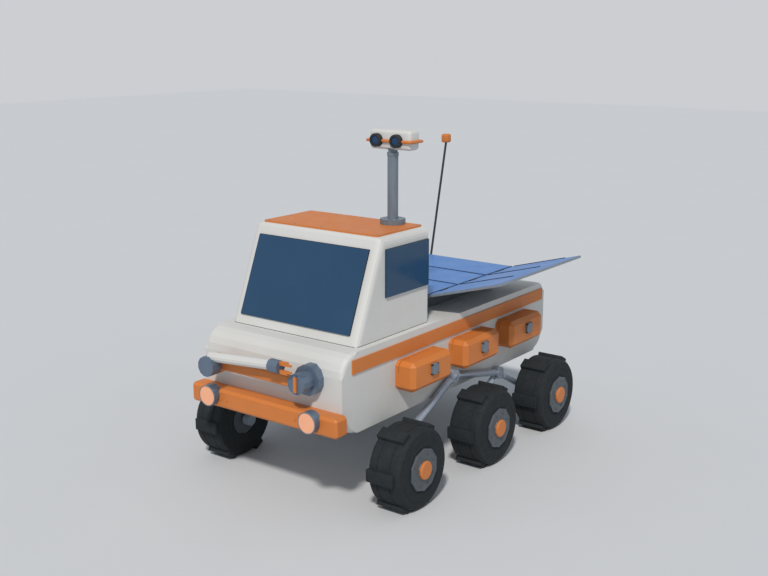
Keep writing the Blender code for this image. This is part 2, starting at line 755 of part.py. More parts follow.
def build_lockers():
    """Three lockers on each side: an open body and a hinged lid with its latch."""
    hinge_x, hinge_z = locker_hinge()
    for side, sign in SIDES:
        for i in range(LOCKER_COUNT):
            centre = along(LOCKER_FIRST + i * LOCKER_SPACING)
            start, end = centre - LOCKER_LENGTH / 2, centre + LOCKER_LENGTH / 2
            outer = HULL_HALF_WIDTH + LOCKER_DEPTH
            lid_space = box((hinge_x, start - LAP, LID_SEAM), (outer + LAP, end + LAP, LOCKER_TOP + LAP))
            body_space = box((hinge_x - LID_GAP, start - LAP, LID_SEAM - SEAT),
                             (outer + LAP, end + LAP, LOCKER_TOP + LAP))
            ends = (centre - LOCKER_LENGTH / 4, centre + LOCKER_LENGTH / 4)
            body = cut(locker_form(start, end), body_space, locker_form(start, end, LOCKER_WALL))
            lid = cut(kept(locker_form(start, end), lid_space), locker_form(start, end, LOCKER_WALL))
            lugs, barrels, clears, notches = [], [], [], []
            for y in ends:
                middle = y + HINGE_LENGTH / 2
                barrels.append(drum(HINGE_RADIUS, KNUCKLE_SIDES, (hinge_x, hinge_z),
                                    y - HINGE_LENGTH / 2, y - RUNNING / 2, "Y"))
                lugs.append(drum(HINGE_RADIUS, KNUCKLE_SIDES, (hinge_x, hinge_z),
                                 y + RUNNING / 2, middle, "Y"))
                clears.append(box((hinge_x - LAP, y - HINGE_LENGTH / 2 - RUNNING, hinge_z - 2 * HINGE_RADIUS),
                                  (hinge_x + 2 * HINGE_RADIUS, y + RUNNING / 2, LOCKER_TOP + LAP)))
                notches.append(box((hinge_x - 2 * HINGE_RADIUS, y - RUNNING / 2, hinge_z - 2 * HINGE_RADIUS),
                                   (hinge_x + LAP, middle + RUNNING, LOCKER_TOP + LAP)))
                body_leaf = box((hinge_x - 2 * LAP, y - HINGE_LENGTH / 2, hinge_z - HINGE_RADIUS / 2),
                                (hinge_x, y - RUNNING / 2, hinge_z + HINGE_RADIUS / 2))
                barrels.append(body_leaf)
            latch_top = LID_SEAM + LATCH_RISE
            latch = box((outer + RUNNING, centre - LATCH_WIDTH / 2, latch_top - LATCH_HEIGHT),
                        (outer + LATCH_PROUD, centre + LATCH_WIDTH / 2, latch_top))
            root = box((outer - LAP, centre - LATCH_WIDTH / 2, LID_SEAM + RUNNING),
                       (outer + LAP, centre + LATCH_WIDTH / 2, latch_top))
            lid = fused(cut(lid, *clears), *lugs, latch, root)
            body = fused(cut(body, *notches), *barrels)
            number = i + 1
            node(f"locker_{side}_{number}", mirrored(body, sign), "orange_paint")
            node(f"lid_{side}_{number}", mirrored(lid, sign), "orange_paint",
                 pivot=(sign * hinge_x, centre, hinge_z))


def panel_form(x_start, x_end, cell_start, cell_end):
    """A flat panel at the array's height, with its cells let into the top in rows."""
    start = along(ARRAY_START)
    end = start + ARRAY_LENGTH
    slab = box((x_start, start, ARRAY_TOP - PANEL_THICKNESS), (x_end, end, ARRAY_TOP))
    pitch = (ARRAY_LENGTH - 2 * FRAME_WIDTH + CELL_GAP) / CELL_ROWS
    cells = []
    for i in range(CELL_ROWS):
        y = start + FRAME_WIDTH + i * pitch
        cells.append(box((cell_start, y, ARRAY_TOP - CELL_DEPTH),
                         (cell_end, y + pitch - CELL_GAP, ARRAY_TOP + LAP)))
    return cut(slab, *cells)


def fold_knuckles(offset, length, radius):
    """Drums along the left fold line, one at each hinge station."""
    shapes = []
    for i in range(KNUCKLES):
        y = along(ARRAY_START) + ARRAY_LENGTH * (i + 0.5) / KNUCKLES + offset
        shapes.append(drum(radius, KNUCKLE_SIDES, (ARRAY_FOLD, ARRAY_TOP), y, y + length, "Y"))
    return shapes


def build_array():
    """The pedestal, the centre panel and the two raised wings with their hinges."""
    bottom = ARRAY_TOP - PANEL_THICKNESS
    plinth = box((-PEDESTAL_HALF_WIDTH, along(PEDESTAL_START), DECK + SEAT),
                 (PEDESTAL_HALF_WIDTH, along(PEDESTAL_START + PEDESTAL_LENGTH), bottom - SEAT))
    upright = lambda e: abs(e.verts[0].co.z - e.verts[1].co.z) > PEDESTAL_CHAMFER
    node("array_pedestal", bevelled(plinth, PEDESTAL_CHAMFER, 1, upright), "dark_metal")

    gap = RUNNING / 2
    edge = ARRAY_FOLD - FOLD_GAP
    centre = panel_form(-edge, edge, -edge + FRAME_WIDTH, edge - FRAME_WIDTH)
    clear = KNUCKLE_RADIUS + 2 * RUNNING
    notches = []
    for _, sign in SIDES:
        for shape in fold_knuckles(-gap, KNUCKLE_LENGTH + 2 * gap, clear):
            notches.append(mirrored(shape, sign))
    centre = cut(centre, *notches)
    for _, sign in SIDES:
        for shape in fold_knuckles(-KNUCKLE_LENGTH - gap, KNUCKLE_LENGTH, KNUCKLE_RADIUS):
            centre = fused(centre, mirrored(shape, sign))
    node("array_centre", centre, "solar_cells")

    for side, sign in SIDES:
        start = ARRAY_FOLD + FOLD_GAP
        end = ARRAY_FOLD + WING_WIDTH
        wing = panel_form(start, end, start + FRAME_WIDTH, end - FRAME_WIDTH)
        wing = cut(wing, *fold_knuckles(-KNUCKLE_LENGTH - 2 * gap, KNUCKLE_LENGTH + 2 * gap, clear))
        wing = fused(wing, *fold_knuckles(gap, KNUCKLE_LENGTH - 2 * gap, KNUCKLE_RADIUS))
        axis = (ARRAY_FOLD, 0.0, ARRAY_TOP)
        bmesh.ops.rotate(wing, verts=wing.verts, cent=axis, matrix=Matrix.Rotation(-WING_ANGLE, 3, "Y"))
        node(f"array_wing_{side}", mirrored(wing, sign), "solar_cells",
             pivot=(sign * ARRAY_FOLD, along(ARRAY_START + ARRAY_LENGTH / 2), ARRAY_TOP))


def head_pocket():
    """The space in the head's underside that the neck's tang swings in."""
    lean = math.tan(TILT_LIMIT)
    below = TILT_HEIGHT - HEAD_BOTTOM
    half_depth = TANG_HALF_DEPTH / math.cos(TILT_LIMIT) + below * lean + POCKET_MARGIN
    reach = math.hypot(TANG_HALF_DEPTH, TANG_ABOVE) + POCKET_MARGIN
    y = along(MAST_Y)
    return box((MAST_X - TANG_HALF_WIDTH - POCKET_MARGIN, y - half_depth, HEAD_BOTTOM - LAP),
               (MAST_X + TANG_HALF_WIDTH + POCKET_MARGIN, y + half_depth, TILT_HEIGHT + reach))


def build_mast():
    """The mast on the roof, the neck that pans on it, and the camera head that tilts on the neck."""
    y = along(MAST_Y)
    centre = (MAST_X, y)
    roof = CAB_TOP + 2 * SEAT + ROOF_THICKNESS
    foot = drum(FOOT_RADIUS, MAST_SIDES, centre, roof, roof + FOOT_HEIGHT, "Z")
    post = drum(MAST_RADIUS, MAST_SIDES, centre, roof + LAP, MAST_TOP, "Z")
    node("mast", fused(foot, post), "steel")

    base = MAST_TOP + RUNNING
    collar = drum(COLLAR_RADIUS, MAST_SIDES, centre, base, base + COLLAR_HEIGHT, "Z")
    tang = box((MAST_X - TANG_HALF_WIDTH, y - TANG_HALF_DEPTH, base + LAP),
               (MAST_X + TANG_HALF_WIDTH, y + TANG_HALF_DEPTH, TILT_HEIGHT + TANG_ABOVE))
    pin = drum(TILT_PIN, AXLE_SIDES, (y, TILT_HEIGHT), MAST_X - TILT_PIN_HALF_LENGTH,
               MAST_X + TILT_PIN_HALF_LENGTH, "X")
    neck = node("camera_neck", fused(collar, tang, pin), "steel", pivot=(MAST_X, y, base))

    front = y + HEAD_SETBACK - HEAD_DEPTH / 2
    half = HEAD_WIDTH / 2
    body = bevelled(box((MAST_X - half, front, HEAD_BOTTOM), (MAST_X + half, front + HEAD_DEPTH, HEAD_TOP)),
                    HEAD_CHAMFER, 2)
    eyes, recesses = [], []
    for _, sign in SIDES:
        eye = (MAST_X + sign * EYE_SPREAD, EYE_HEIGHT)
        eyes.append(drum(EYE_RADIUS, EYE_SIDES, eye, front - EYE_LENGTH, front + LAP, "Y"))
        recesses.append(drum(EYE_RADIUS - EYE_RIM, EYE_SIDES, eye, front - EYE_LENGTH - LAP,
                             front - EYE_LENGTH + EYE_RECESS, "Y"))
    hole = drum(bore_radius(TILT_PIN, AXLE_SIDES), AXLE_SIDES, (y, TILT_HEIGHT),
                MAST_X - TILT_PIN_HALF_LENGTH - POCKET_MARGIN, MAST_X + TILT_PIN_HALF_LENGTH + POCKET_MARGIN,
                "X")
    tilt = (MAST_X, y, TILT_HEIGHT)
    head = node("camera_head", cut(fused(body, *eyes), *recesses, head_pocket(), hole), "white_paint",
                pivot=tilt, parent=neck)

    def ring(reach, bottom, top):
        shape = box((MAST_X - half - reach, front - reach, bottom),
                    (MAST_X + half + reach, front + HEAD_DEPTH + reach, top))
        upright = lambda e: abs(e.verts[0].co.z - e.verts[1].co.z) > BAND_HEIGHT / 2
        return bevelled(shape, HEAD_CHAMFER, 2, upright)

    band = ring(BAND_PROUD, BAND_BOTTOM, BAND_BOTTOM + BAND_HEIGHT)
    inside = ring(SEAT, BAND_BOTTOM - LAP, BAND_BOTTOM + BAND_HEIGHT + LAP)
    between = box((MAST_X - EYE_SPREAD, front - EYE_LENGTH, BAND_BOTTOM - LAP),
                  (MAST_X + EYE_SPREAD, front + LAP, BAND_BOTTOM + BAND_HEIGHT + LAP))
    lens_clear = [drum(EYE_RADIUS + SEAT, EYE_SIDES, (MAST_X + sign * EYE_SPREAD, EYE_HEIGHT),
                       front - EYE_LENGTH - LAP, front + LAP, "Y") for _, sign in SIDES]
    node("camera_band", cut(band, inside, between, *lens_clear), "orange_paint", pivot=tilt, parent=head)


def build_aerial():
    """The raked whip aerial on the rear deck, with its foot and the block at its tip."""
    aerial_x = AERIAL_INSET - HULL_HALF_WIDTH
    foot_y = along(AERIAL_FOOT_Y)
    foot = drum(AERIAL_FOOT_RADIUS, MAST_SIDES, (aerial_x, foot_y), DECK + SEAT,
                DECK + SEAT + AERIAL_FOOT_HEIGHT, "Z")
    tip_y = TAIL + AERIAL_OVERHANG - AERIAL_TIP_WIDTH / 2
    middle = AERIAL_TIP_BOTTOM + AERIAL_TIP_HEIGHT / 2
    rod = tube_between((aerial_x, foot_y, DECK + LAP), (aerial_x, tip_y, middle), ROD_RADIUS, KNUCKLE_SIDES)
    half = AERIAL_TIP_WIDTH / 2
    block = bevelled(box((aerial_x - half, tip_y - half, AERIAL_TIP_BOTTOM),
                         (aerial_x + half, tip_y + half, AERIAL_TIP_BOTTOM + AERIAL_TIP_HEIGHT)), LAP)
    node("aerial", fused(foot, rod, block), "dark_metal")


def build_arm():
    """The folded sampling arm: base drum, upper arm, forearm, wrist and two fingers."""
    arm_z = BUMPER_BOTTOM + BUMPER_HEIGHT + ARM_RISE
    wrist_z = arm_z + WRIST_RISE
    shoulder = (SHOULDER_X, arm_z)
    elbow = (ELBOW_X, arm_z)
    base_front = NOSE - BASE_DRUM_LENGTH
    base = drum(BASE_DRUM_RADIUS, DRUM_SIDES, shoulder, base_front, NOSE + CORNER_ROUNDING / 2, "Y")
    node("arm_base", cut(base, hull_form(SEAT)), "dark_metal")

    drum_back = base_front - RUNNING
    drum_front = drum_back - SHOULDER_DRUM_LENGTH
    bar_front = NOSE - UPPER_ARM_FRONT
    bar_back = bar_front + UPPER_ARM_THICKNESS
    bar = bevelled(box((ELBOW_X, bar_front, arm_z - UPPER_ARM_HEIGHT / 2),
                       (SHOULDER_X, bar_back, arm_z + UPPER_ARM_HEIGHT / 2)), UPPER_ARM_CHAMFER)
    swivel = drum(DRUM_RADIUS, DRUM_SIDES, shoulder, drum_front, drum_back, "Y")
    rib = box((SHOULDER_X - RIB_WIDTH / 2, drum_front - RIB_PROUD, arm_z - RIB_HEIGHT / 2),
              (SHOULDER_X + RIB_WIDTH / 2, drum_front + LAP, arm_z + RIB_HEIGHT / 2))
    split = bar_front - UPPER_ARM_CHAMFER
    shoulder_drum = node("arm_shoulder", fused(swivel, rib), "dark_metal",
                         pivot=(SHOULDER_X, drum_back, arm_z))
    socket = drum(DRUM_RADIUS + SEAT, DRUM_SIDES, shoulder, drum_front - LAP, drum_back + LAP, "Y")
    knuckle = drum(DRUM_RADIUS, DRUM_SIDES, elbow, split, bar_back, "Y")
    upper = node("arm_upper", fused(cut(bar, socket), knuckle), "orange_paint",
                 pivot=(SHOULDER_X, drum_back, arm_z), parent=shoulder_drum)

    front_drum = drum(DRUM_RADIUS, DRUM_SIDES, elbow, NOSE - ARM_REACH, split - RUNNING, "Y")
    y = NOSE - FOREARM_PLANE
    start_z = arm_z + FOREARM_START_RISE
    sides = polygon(FOREARM_RADIUS, DRUM_SIDES)
    tube = prism([(y + a, start_z + b) for a, b in sides], FOREARM_START_X, WRIST_X - RUNNING, "X")
    shift = wrist_z - start_z
    for vert in tube.verts:
        if vert.co.x > (FOREARM_START_X + WRIST_X) / 2:
            vert.co.z += shift
    elbow_drum = node("arm_elbow", front_drum, "dark_metal", pivot=(ELBOW_X, split, arm_z),
                      parent=upper)
    collar = drum(DRUM_RADIUS + SEAT, DRUM_SIDES, elbow, NOSE - ARM_REACH - LAP, split + LAP, "Y")
    forearm = node("arm_forearm", cut(tube, collar), "white_paint", pivot=(ELBOW_X, split, arm_z),
                   parent=elbow_drum)

    wrist_end = WRIST_X + WRIST_LENGTH
    wrist = node("arm_wrist", drum(WRIST_RADIUS, DRUM_SIDES, (y, wrist_z), WRIST_X, wrist_end, "X"),
                 "steel", pivot=(WRIST_X, y, wrist_z), parent=forearm)
    # name, side of the wrist's axis
    for name, sign in (("upper", 1), ("lower", -1)):
        z = wrist_z + sign * FINGER_SPREAD
        half = FINGER_SIZE / 2
        root = wrist_end + RUNNING
        finger = box((root, y - half, z - half), (root + FINGER_LENGTH, y + half, z + half))
        for vert in finger.verts:
            if vert.co.x > root + FINGER_LENGTH / 2:
                vert.co.y = y + (vert.co.y - y) / 2
                if sign * (vert.co.z - z) > 0:
                    vert.co.z = z
        bar = box((root, y - half, z - half), (root + FINGER_LENGTH - FINGER_TIP, y + half, z + half))
        node(f"finger_{name}", bevelled(fused(finger, bar), FINGER_CHAMFER / 2), "orange_paint",
             pivot=(root, y, z), parent=wrist)


clear_scene()
build_hull()
build_bumper()
build_cab()
build_wheels()
build_suspension()
build_lockers()
build_array()
build_mast()
build_aerial()
build_arm()
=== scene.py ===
"""Looks of the planetary rover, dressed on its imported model. Metres, front along -Y, ground at Z = 0."""

import logging
import math
from dataclasses import dataclass
from enum import Enum
from typing import Iterable, Sequence

import bmesh
import bpy
from mathutils import Matrix, Vector


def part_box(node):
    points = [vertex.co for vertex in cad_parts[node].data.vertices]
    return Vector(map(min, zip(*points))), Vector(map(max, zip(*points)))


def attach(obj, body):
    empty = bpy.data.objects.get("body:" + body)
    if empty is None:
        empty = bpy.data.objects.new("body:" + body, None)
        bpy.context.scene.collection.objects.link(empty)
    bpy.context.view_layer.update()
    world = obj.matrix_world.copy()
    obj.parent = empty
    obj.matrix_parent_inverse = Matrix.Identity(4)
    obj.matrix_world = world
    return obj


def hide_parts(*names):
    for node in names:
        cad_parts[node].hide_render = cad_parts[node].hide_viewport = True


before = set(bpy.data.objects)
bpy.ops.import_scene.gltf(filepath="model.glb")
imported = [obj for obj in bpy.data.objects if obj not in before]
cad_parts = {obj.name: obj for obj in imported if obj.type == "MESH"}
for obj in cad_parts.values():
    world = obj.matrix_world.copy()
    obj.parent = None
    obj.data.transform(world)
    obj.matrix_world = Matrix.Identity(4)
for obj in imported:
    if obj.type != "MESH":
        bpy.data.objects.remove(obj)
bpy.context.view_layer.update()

LOG = logging.getLogger("rover")
Pair = tuple[float, float]
Point = tuple[float, float, float]
Colour = tuple[float, float, float]

# each side's direction along X
OUTWARD = {"left": 1.0, "right": -1.0}
# the angle in degrees above which a flat-faced piece's edges stay sharp
CRISP = 25.0


class Slot(Enum):
    """The record's material slots."""

    WHITE = "white_paint"
    ORANGE = "orange_paint"
    STEEL = "steel"
    DARK = "dark_metal"
    RUBBER = "rubber"
    GLASS = "tinted_glass"
    LAMP = "lamp_glass"
    CELLS = "solar_cells"


class Axis(Enum):
    """The axis that a piece is turned round, by its place in a point."""

    X = 0
    Y = 1
    Z = 2


def linear(code: str) -> Colour:
    """Turns a written colour into the linear values that a shader takes.

    Args:
        code: six hexadecimal digits, as seen on a screen.

    Returns:
        Red, green and blue, from 0 to 1.
    """
    values = [int(code[i:i + 2], 16) / 255 for i in (0, 2, 4)]
    return tuple(v / 12.92 if v <= 0.04045 else ((v + 0.055) / 1.055) ** 2.4 for v in values)


def around(centre: Point, axis: Axis, distance: float, radius: float, angle: float) -> Vector:
    """Finds a point round an axis.

    Args:
        centre: the point on the axis that distances start from.
        axis: the axis.
        distance: how far along the axis it lies.
        radius: how far off the axis it lies.
        angle: how far round the axis it lies.

    Returns:
        The point.
    """
    place = [radius * math.cos(angle), radius * math.sin(angle)]
    place.insert(axis.value, distance)
    return Vector(centre) + Vector(place)


class Board:
    """A material's node board, with short ways to add and join its nodes."""

    def __init__(self, name: str) -> None:
        """Starts a material that holds one shader.

        Args:
            name: the material's name.
        """
        self.material = bpy.data.materials.new(name)
        self.material.use_nodes = True
        self.nodes = self.material.node_tree.nodes
        self.links = self.material.node_tree.links
        self.shader = self.nodes["Principled BSDF"]
        self.place = self.nodes.new("ShaderNodeTexCoord").outputs["Object"]

    def noise(self, scale: float, detail: float,
              stretch: Point = (1.0, 1.0, 1.0)) -> bpy.types.NodeSocket:
        """Adds a noise over the piece.

        Args:
            scale: how many blotches there are to a metre.
            detail: how many finer layers it has.
            stretch: how much it is drawn together along each axis.

        Returns:
            The noise, from 0 to 1.
        """
        mapping = self.nodes.new("ShaderNodeMapping")
        mapping.inputs["Scale"].default_value = stretch
        texture = self.nodes.new("ShaderNodeTexNoise")
        texture.inputs["Scale"].default_value = scale
        texture.inputs["Detail"].default_value = detail
        self.links.new(self.place, mapping.inputs["Vector"])
        self.links.new(mapping.outputs["Vector"], texture.inputs["Vector"])
        return texture.outputs["Fac"]

    def spread(self, source: bpy.types.NodeSocket, low: float, high: float, to_low: float,
               to_high: float) -> bpy.types.NodeSocket:
        """Maps a value's range onto another, and holds it there.

        Args:
            source: the value.
            low: the start of its range.
            high: the end of its range.
            to_low: what the start becomes.
            to_high: what the end becomes.

        Returns:
            The mapped value.
        """
        node = self.nodes.new("ShaderNodeMapRange")
        for name, value in (("From Min", low), ("From Max", high), ("To Min", to_low), ("To Max", to_high)):
            node.inputs[name].default_value = value
        self.links.new(source, node.inputs["Value"])
        return node.outputs["Result"]

    def height(self, low: float, high: float) -> bpy.types.NodeSocket:
        """Gives a fade over the piece's height.

        Args:
            low: the height at which it is 1.
            high: the height at which it is 0.

        Returns:
            The fade.
        """
        parts = self.nodes.new("ShaderNodeSeparateXYZ")
        self.links.new(self.place, parts.inputs["Vector"])
        return self.spread(parts.outputs["Z"], low, high, 1.0, 0.0)

    def product(self, first: bpy.types.NodeSocket, second: bpy.types.NodeSocket) -> bpy.types.NodeSocket:
        """Multiplies two values.

        Args:
            first: one value.
            second: the other value.

        Returns:
            Their product.
        """
        node = self.nodes.new("ShaderNodeMath")
        node.operation = "MULTIPLY"
        self.links.new(first, node.inputs[0])
        self.links.new(second, node.inputs[1])
        return node.outputs["Value"]

    def mixed(self, share: bpy.types.NodeSocket, first: Colour | bpy.types.NodeSocket,
              second: Colour) -> bpy.types.NodeSocket:
        """Blends a second colour over a first.

        Args:
            share: how much of the second shows.
            first: the colour underneath.
            second: the colour on top.

        Returns:
            The blended colour.
        """
        node = self.nodes.new("ShaderNodeMix")
        node.data_type = "RGBA"
        self.links.new(share, node.inputs["Factor"])
        if isinstance(first, tuple):
            node.inputs[6].default_value = (*first, 1.0)
        else:
            self.links.new(first, node.inputs[6])
        node.inputs[7].default_value = (*second, 1.0)
        return node.outputs[2]

    def colour(self, source: bpy.types.NodeSocket) -> None:
        """Joins a colour to the shader."""
        self.links.new(source, self.shader.inputs["Base Color"])

    def rough(self, source: bpy.types.NodeSocket) -> None:
        """Joins a roughness to the shader."""
        self.links.new(source, self.shader.inputs["Roughness"])

    def bump(self, source: bpy.types.NodeSocket, depth: float) -> None:
        """Gives the surface a relief.

        Args:
            source: the relief's height, from 0 to 1.
            depth: its depth in metres.
        """
        node = self.nodes.new("ShaderNodeBump")
        node.inputs["Distance"].default_value = depth
        self.links.new(source, node.inputs["Height"])
        self.links.new(node.outputs["Normal"], self.shader.inputs["Normal"])

    def constant(self, **values: float) -> None:
        """Sets the shader's own sockets, whose names are written with low lines for spaces."""
        for name, value in values.items():
            self.shader.inputs[name.replace("_", " ")].default_value = value


@dataclass(frozen=True)
class Paint:
    """A sprayed coat, a little dusty low down."""

    name: str
    base: str
    worn: str
    roughness: float = 0.5
    dust: float = 0.22
    dust_colour: str = "8f8578"

    def make(self) -> bpy.types.Material:
        """Builds the coat's material.

        Returns:
            The material.
        """
        board = Board(self.name)
        cloud = board.noise(1.7, 5.0)
        wear = board.spread(cloud, 0.35, 0.7, 0.0, 0.5)
        coat = board.mixed(wear, linear(self.base), linear(self.worn))
        speck = board.spread(board.noise(9.0, 6.0), 0.45, 0.75, 0.25, 1.0)
        veil = board.product(board.height(0.25, 1.5), speck)
        amount = board.spread(veil, 0.0, 1.0, 0.0, self.dust)
        board.colour(board.mixed(amount, coat, linear(self.dust_colour)))
        sheen = board.noise(6.0, 4.0)
        board.rough(board.spread(sheen, 0.3, 0.7, self.roughness - 0.06, self.roughness + 0.08))
        board.bump(board.noise(260.0, 2.0), 0.00025)
        return board.material


@dataclass(frozen=True)
class Steel:
    """Blasted and brushed metal."""

    name: str
    base: str
    worn: str
    metal: float = 0.35
    roughness: float = 0.48

    def make(self) -> bpy.types.Material:
        """Builds the metal's material.

        Returns:
            The material.
        """
        board = Board(self.name)
        grain = board.noise(30.0, 4.0, (1.0, 1.0, 0.2))
        wear = board.spread(grain, 0.35, 0.7, 0.0, 0.6)
        board.colour(board.mixed(wear, linear(self.base), linear(self.worn)))
        board.constant(Metallic=self.metal)
        sheen = board.noise(14.0, 3.0)
        board.rough(board.spread(sheen, 0.3, 0.7, self.roughness - 0.08, self.roughness + 0.1))
        board.bump(board.noise(420.0, 2.0, (1.0, 1.0, 0.25)), 0.0002)
        return board.material


@dataclass(frozen=True)
class Rubber:
    """Moulded rubber with dust in its pores."""

    name: str
    base: str
    dusty: str

    def make(self) -> bpy.types.Material:
        """Builds the rubber's material.

        Returns:
            The material.
        """
        board = Board(self.name)
        dust = board.spread(board.noise(11.0, 6.0), 0.45, 0.75, 0.0, 0.55)
        board.colour(board.mixed(dust, linear(self.base), linear(self.dusty)))
        board.rough(board.spread(board.noise(25.0, 3.0), 0.3, 0.7, 0.72, 0.88))
        board.constant(Specular_IOR_Level=0.3)
        board.bump(board.noise(190.0, 3.0), 0.0006)
        return board.material


@dataclass(frozen=True)
class Tint:
    """Dark blue safety glass, with a faint film of dust."""

    name: str
    base: str
    film: str

    def make(self) -> bpy.types.Material:
        """Builds the glass's material.

        Returns:
            The material.
        """
        board = Board(self.name)
        haze = board.spread(board.noise(1.3, 3.0), 0.35, 0.7, 0.0, 0.35)
        board.colour(board.mixed(haze, linear(self.base), linear(self.film)))
        board.rough(board.spread(board.noise(7.0, 5.0), 0.4, 0.7, 0.16, 0.3))
        board.constant(Coat_Weight=0.1, Coat_Roughness=0.1, Specular_IOR_Level=0.28)
        board.bump(board.noise(2.5, 1.0), 0.0006)
        return board.material


@dataclass(frozen=True)
class LampGlass:
    """A warm frosted lens with fine ribs."""

    name: str
    base: str
    rim: str

    def make(self) -> bpy.types.Material:
        """Builds the lens's material.

        Returns:
            The material.
        """
        board = Board(self.name)
        ribs = board.nodes.new("ShaderNodeTexWave")
        ribs.inputs["Scale"].default_value = 22.0
        ribs.inputs["Distortion"].default_value = 0.0
        board.links.new(board.place, ribs.inputs["Vector"])
        frost = board.spread(board.noise(14.0, 3.0), 0.3, 0.8, 0.0, 0.35)
        board.colour(board.mixed(frost, linear(self.base), linear(self.rim)))
        board.rough(board.spread(board.noise(30.0, 2.0), 0.3, 0.7, 0.28, 0.4))
        board.shader.inputs["Emission Color"].default_value = (*linear(self.base), 1.0)
        board.constant(Emission_Strength=0.14)
        board.bump(ribs.outputs["Fac"], 0.0012)
        return board.material


@dataclass(frozen=True)
class Cells:
    """Solar cells under clear sheet, with their seams and fine collector lines."""

    name: str
    base: str
    deep: str
    line: str
    cell: float = 0.155

    def make(self) -> bpy.types.Material:
        """Builds the cells' material.

        Returns:
            The material.
        """
        board = Board(self.name)
        seams = board.nodes.new("ShaderNodeTexBrick")
        seams.offset = 0.0
        seams.squash = 1.0
        seams.inputs["Scale"].default_value = 1.0
        seams.inputs["Brick Width"].default_value = self.cell
        seams.inputs["Row Height"].default_value = self.cell
        seams.inputs["Mortar Size"].default_value = 0.0016
        board.links.new(board.place, seams.inputs["Vector"])
        shade = board.spread(board.noise(2.2, 3.0), 0.3, 0.7, 0.0, 0.6)
        blue = board.mixed(shade, linear(self.base), linear(self.deep))
        faint = board.spread(seams.outputs["Fac"], 0.0, 1.0, 0.0, 0.32)
        board.colour(board.mixed(faint, blue, linear(self.line)))
        board.rough(board.spread(board.noise(5.0, 4.0), 0.3, 0.7, 0.34, 0.46))
        board.constant(Coat_Weight=0.06, Coat_Roughness=0.25, Specular_IOR_Level=0.25)
        return board.material


FINISHES = (
    Paint("white_coat", "d2d2d0", "c6c5c1"),
    Paint("orange_coat", "d07a36", "c36f2e", dust=0.1),
    Steel("grey_metal", "7a8692", "6b7783"),
    Steel("dark_metal_coat", "5a6268", "50575d"),
    # the blue tint of this metal's colour is a painted reflection of the sky
    Steel("arm_metal_painted_sky_reflection", "6a7a8e", "5f6e80", 0.4, 0.36),
    Steel("bright_metal", "a3aebb", "909ba8", 0.45, 0.36),
    Steel("rim_metal", "87919b", "7b858f", 0.2, 0.45),
    # black of the eye sleeves and aerial rod; on the array's bars, fold strips and knuckles this black is
    # painted shade
    Steel("cable_black_and_painted_shade", "24272b", "1b1e21", 0.1, 0.6),
    Rubber("tyre_rubber", "22272b", "2c3033"),
    Rubber("seal_rubber", "23272b", "303236"),
    Tint("cab_glass", "214463", "284e6c"),
    Tint("eye_glass", "173a5c", "21486e"),
    LampGlass("headlamp_glass", "eca984", "de9a70"),
    Cells("cell_blue", "5186ca", "4a7cc0", "37609c"),
)


class Store:
    """Makes each finish at its first use."""

    def __init__(self) -> None:
        """Starts with nothing made."""
        self.known = {finish.name: finish for finish in FINISHES}
        self.made: dict[str, bpy.types.Material] = {}

    def get(self, name: str) -> bpy.types.Material:
        """Gives a finish's material, made at its first use.

        Args:
            name: the finish's name.

        Returns:
            The material.
        """
        if name not in self.made:
            self.made[name] = self.known[name].make()
        return self.made[name]


STORE = Store()


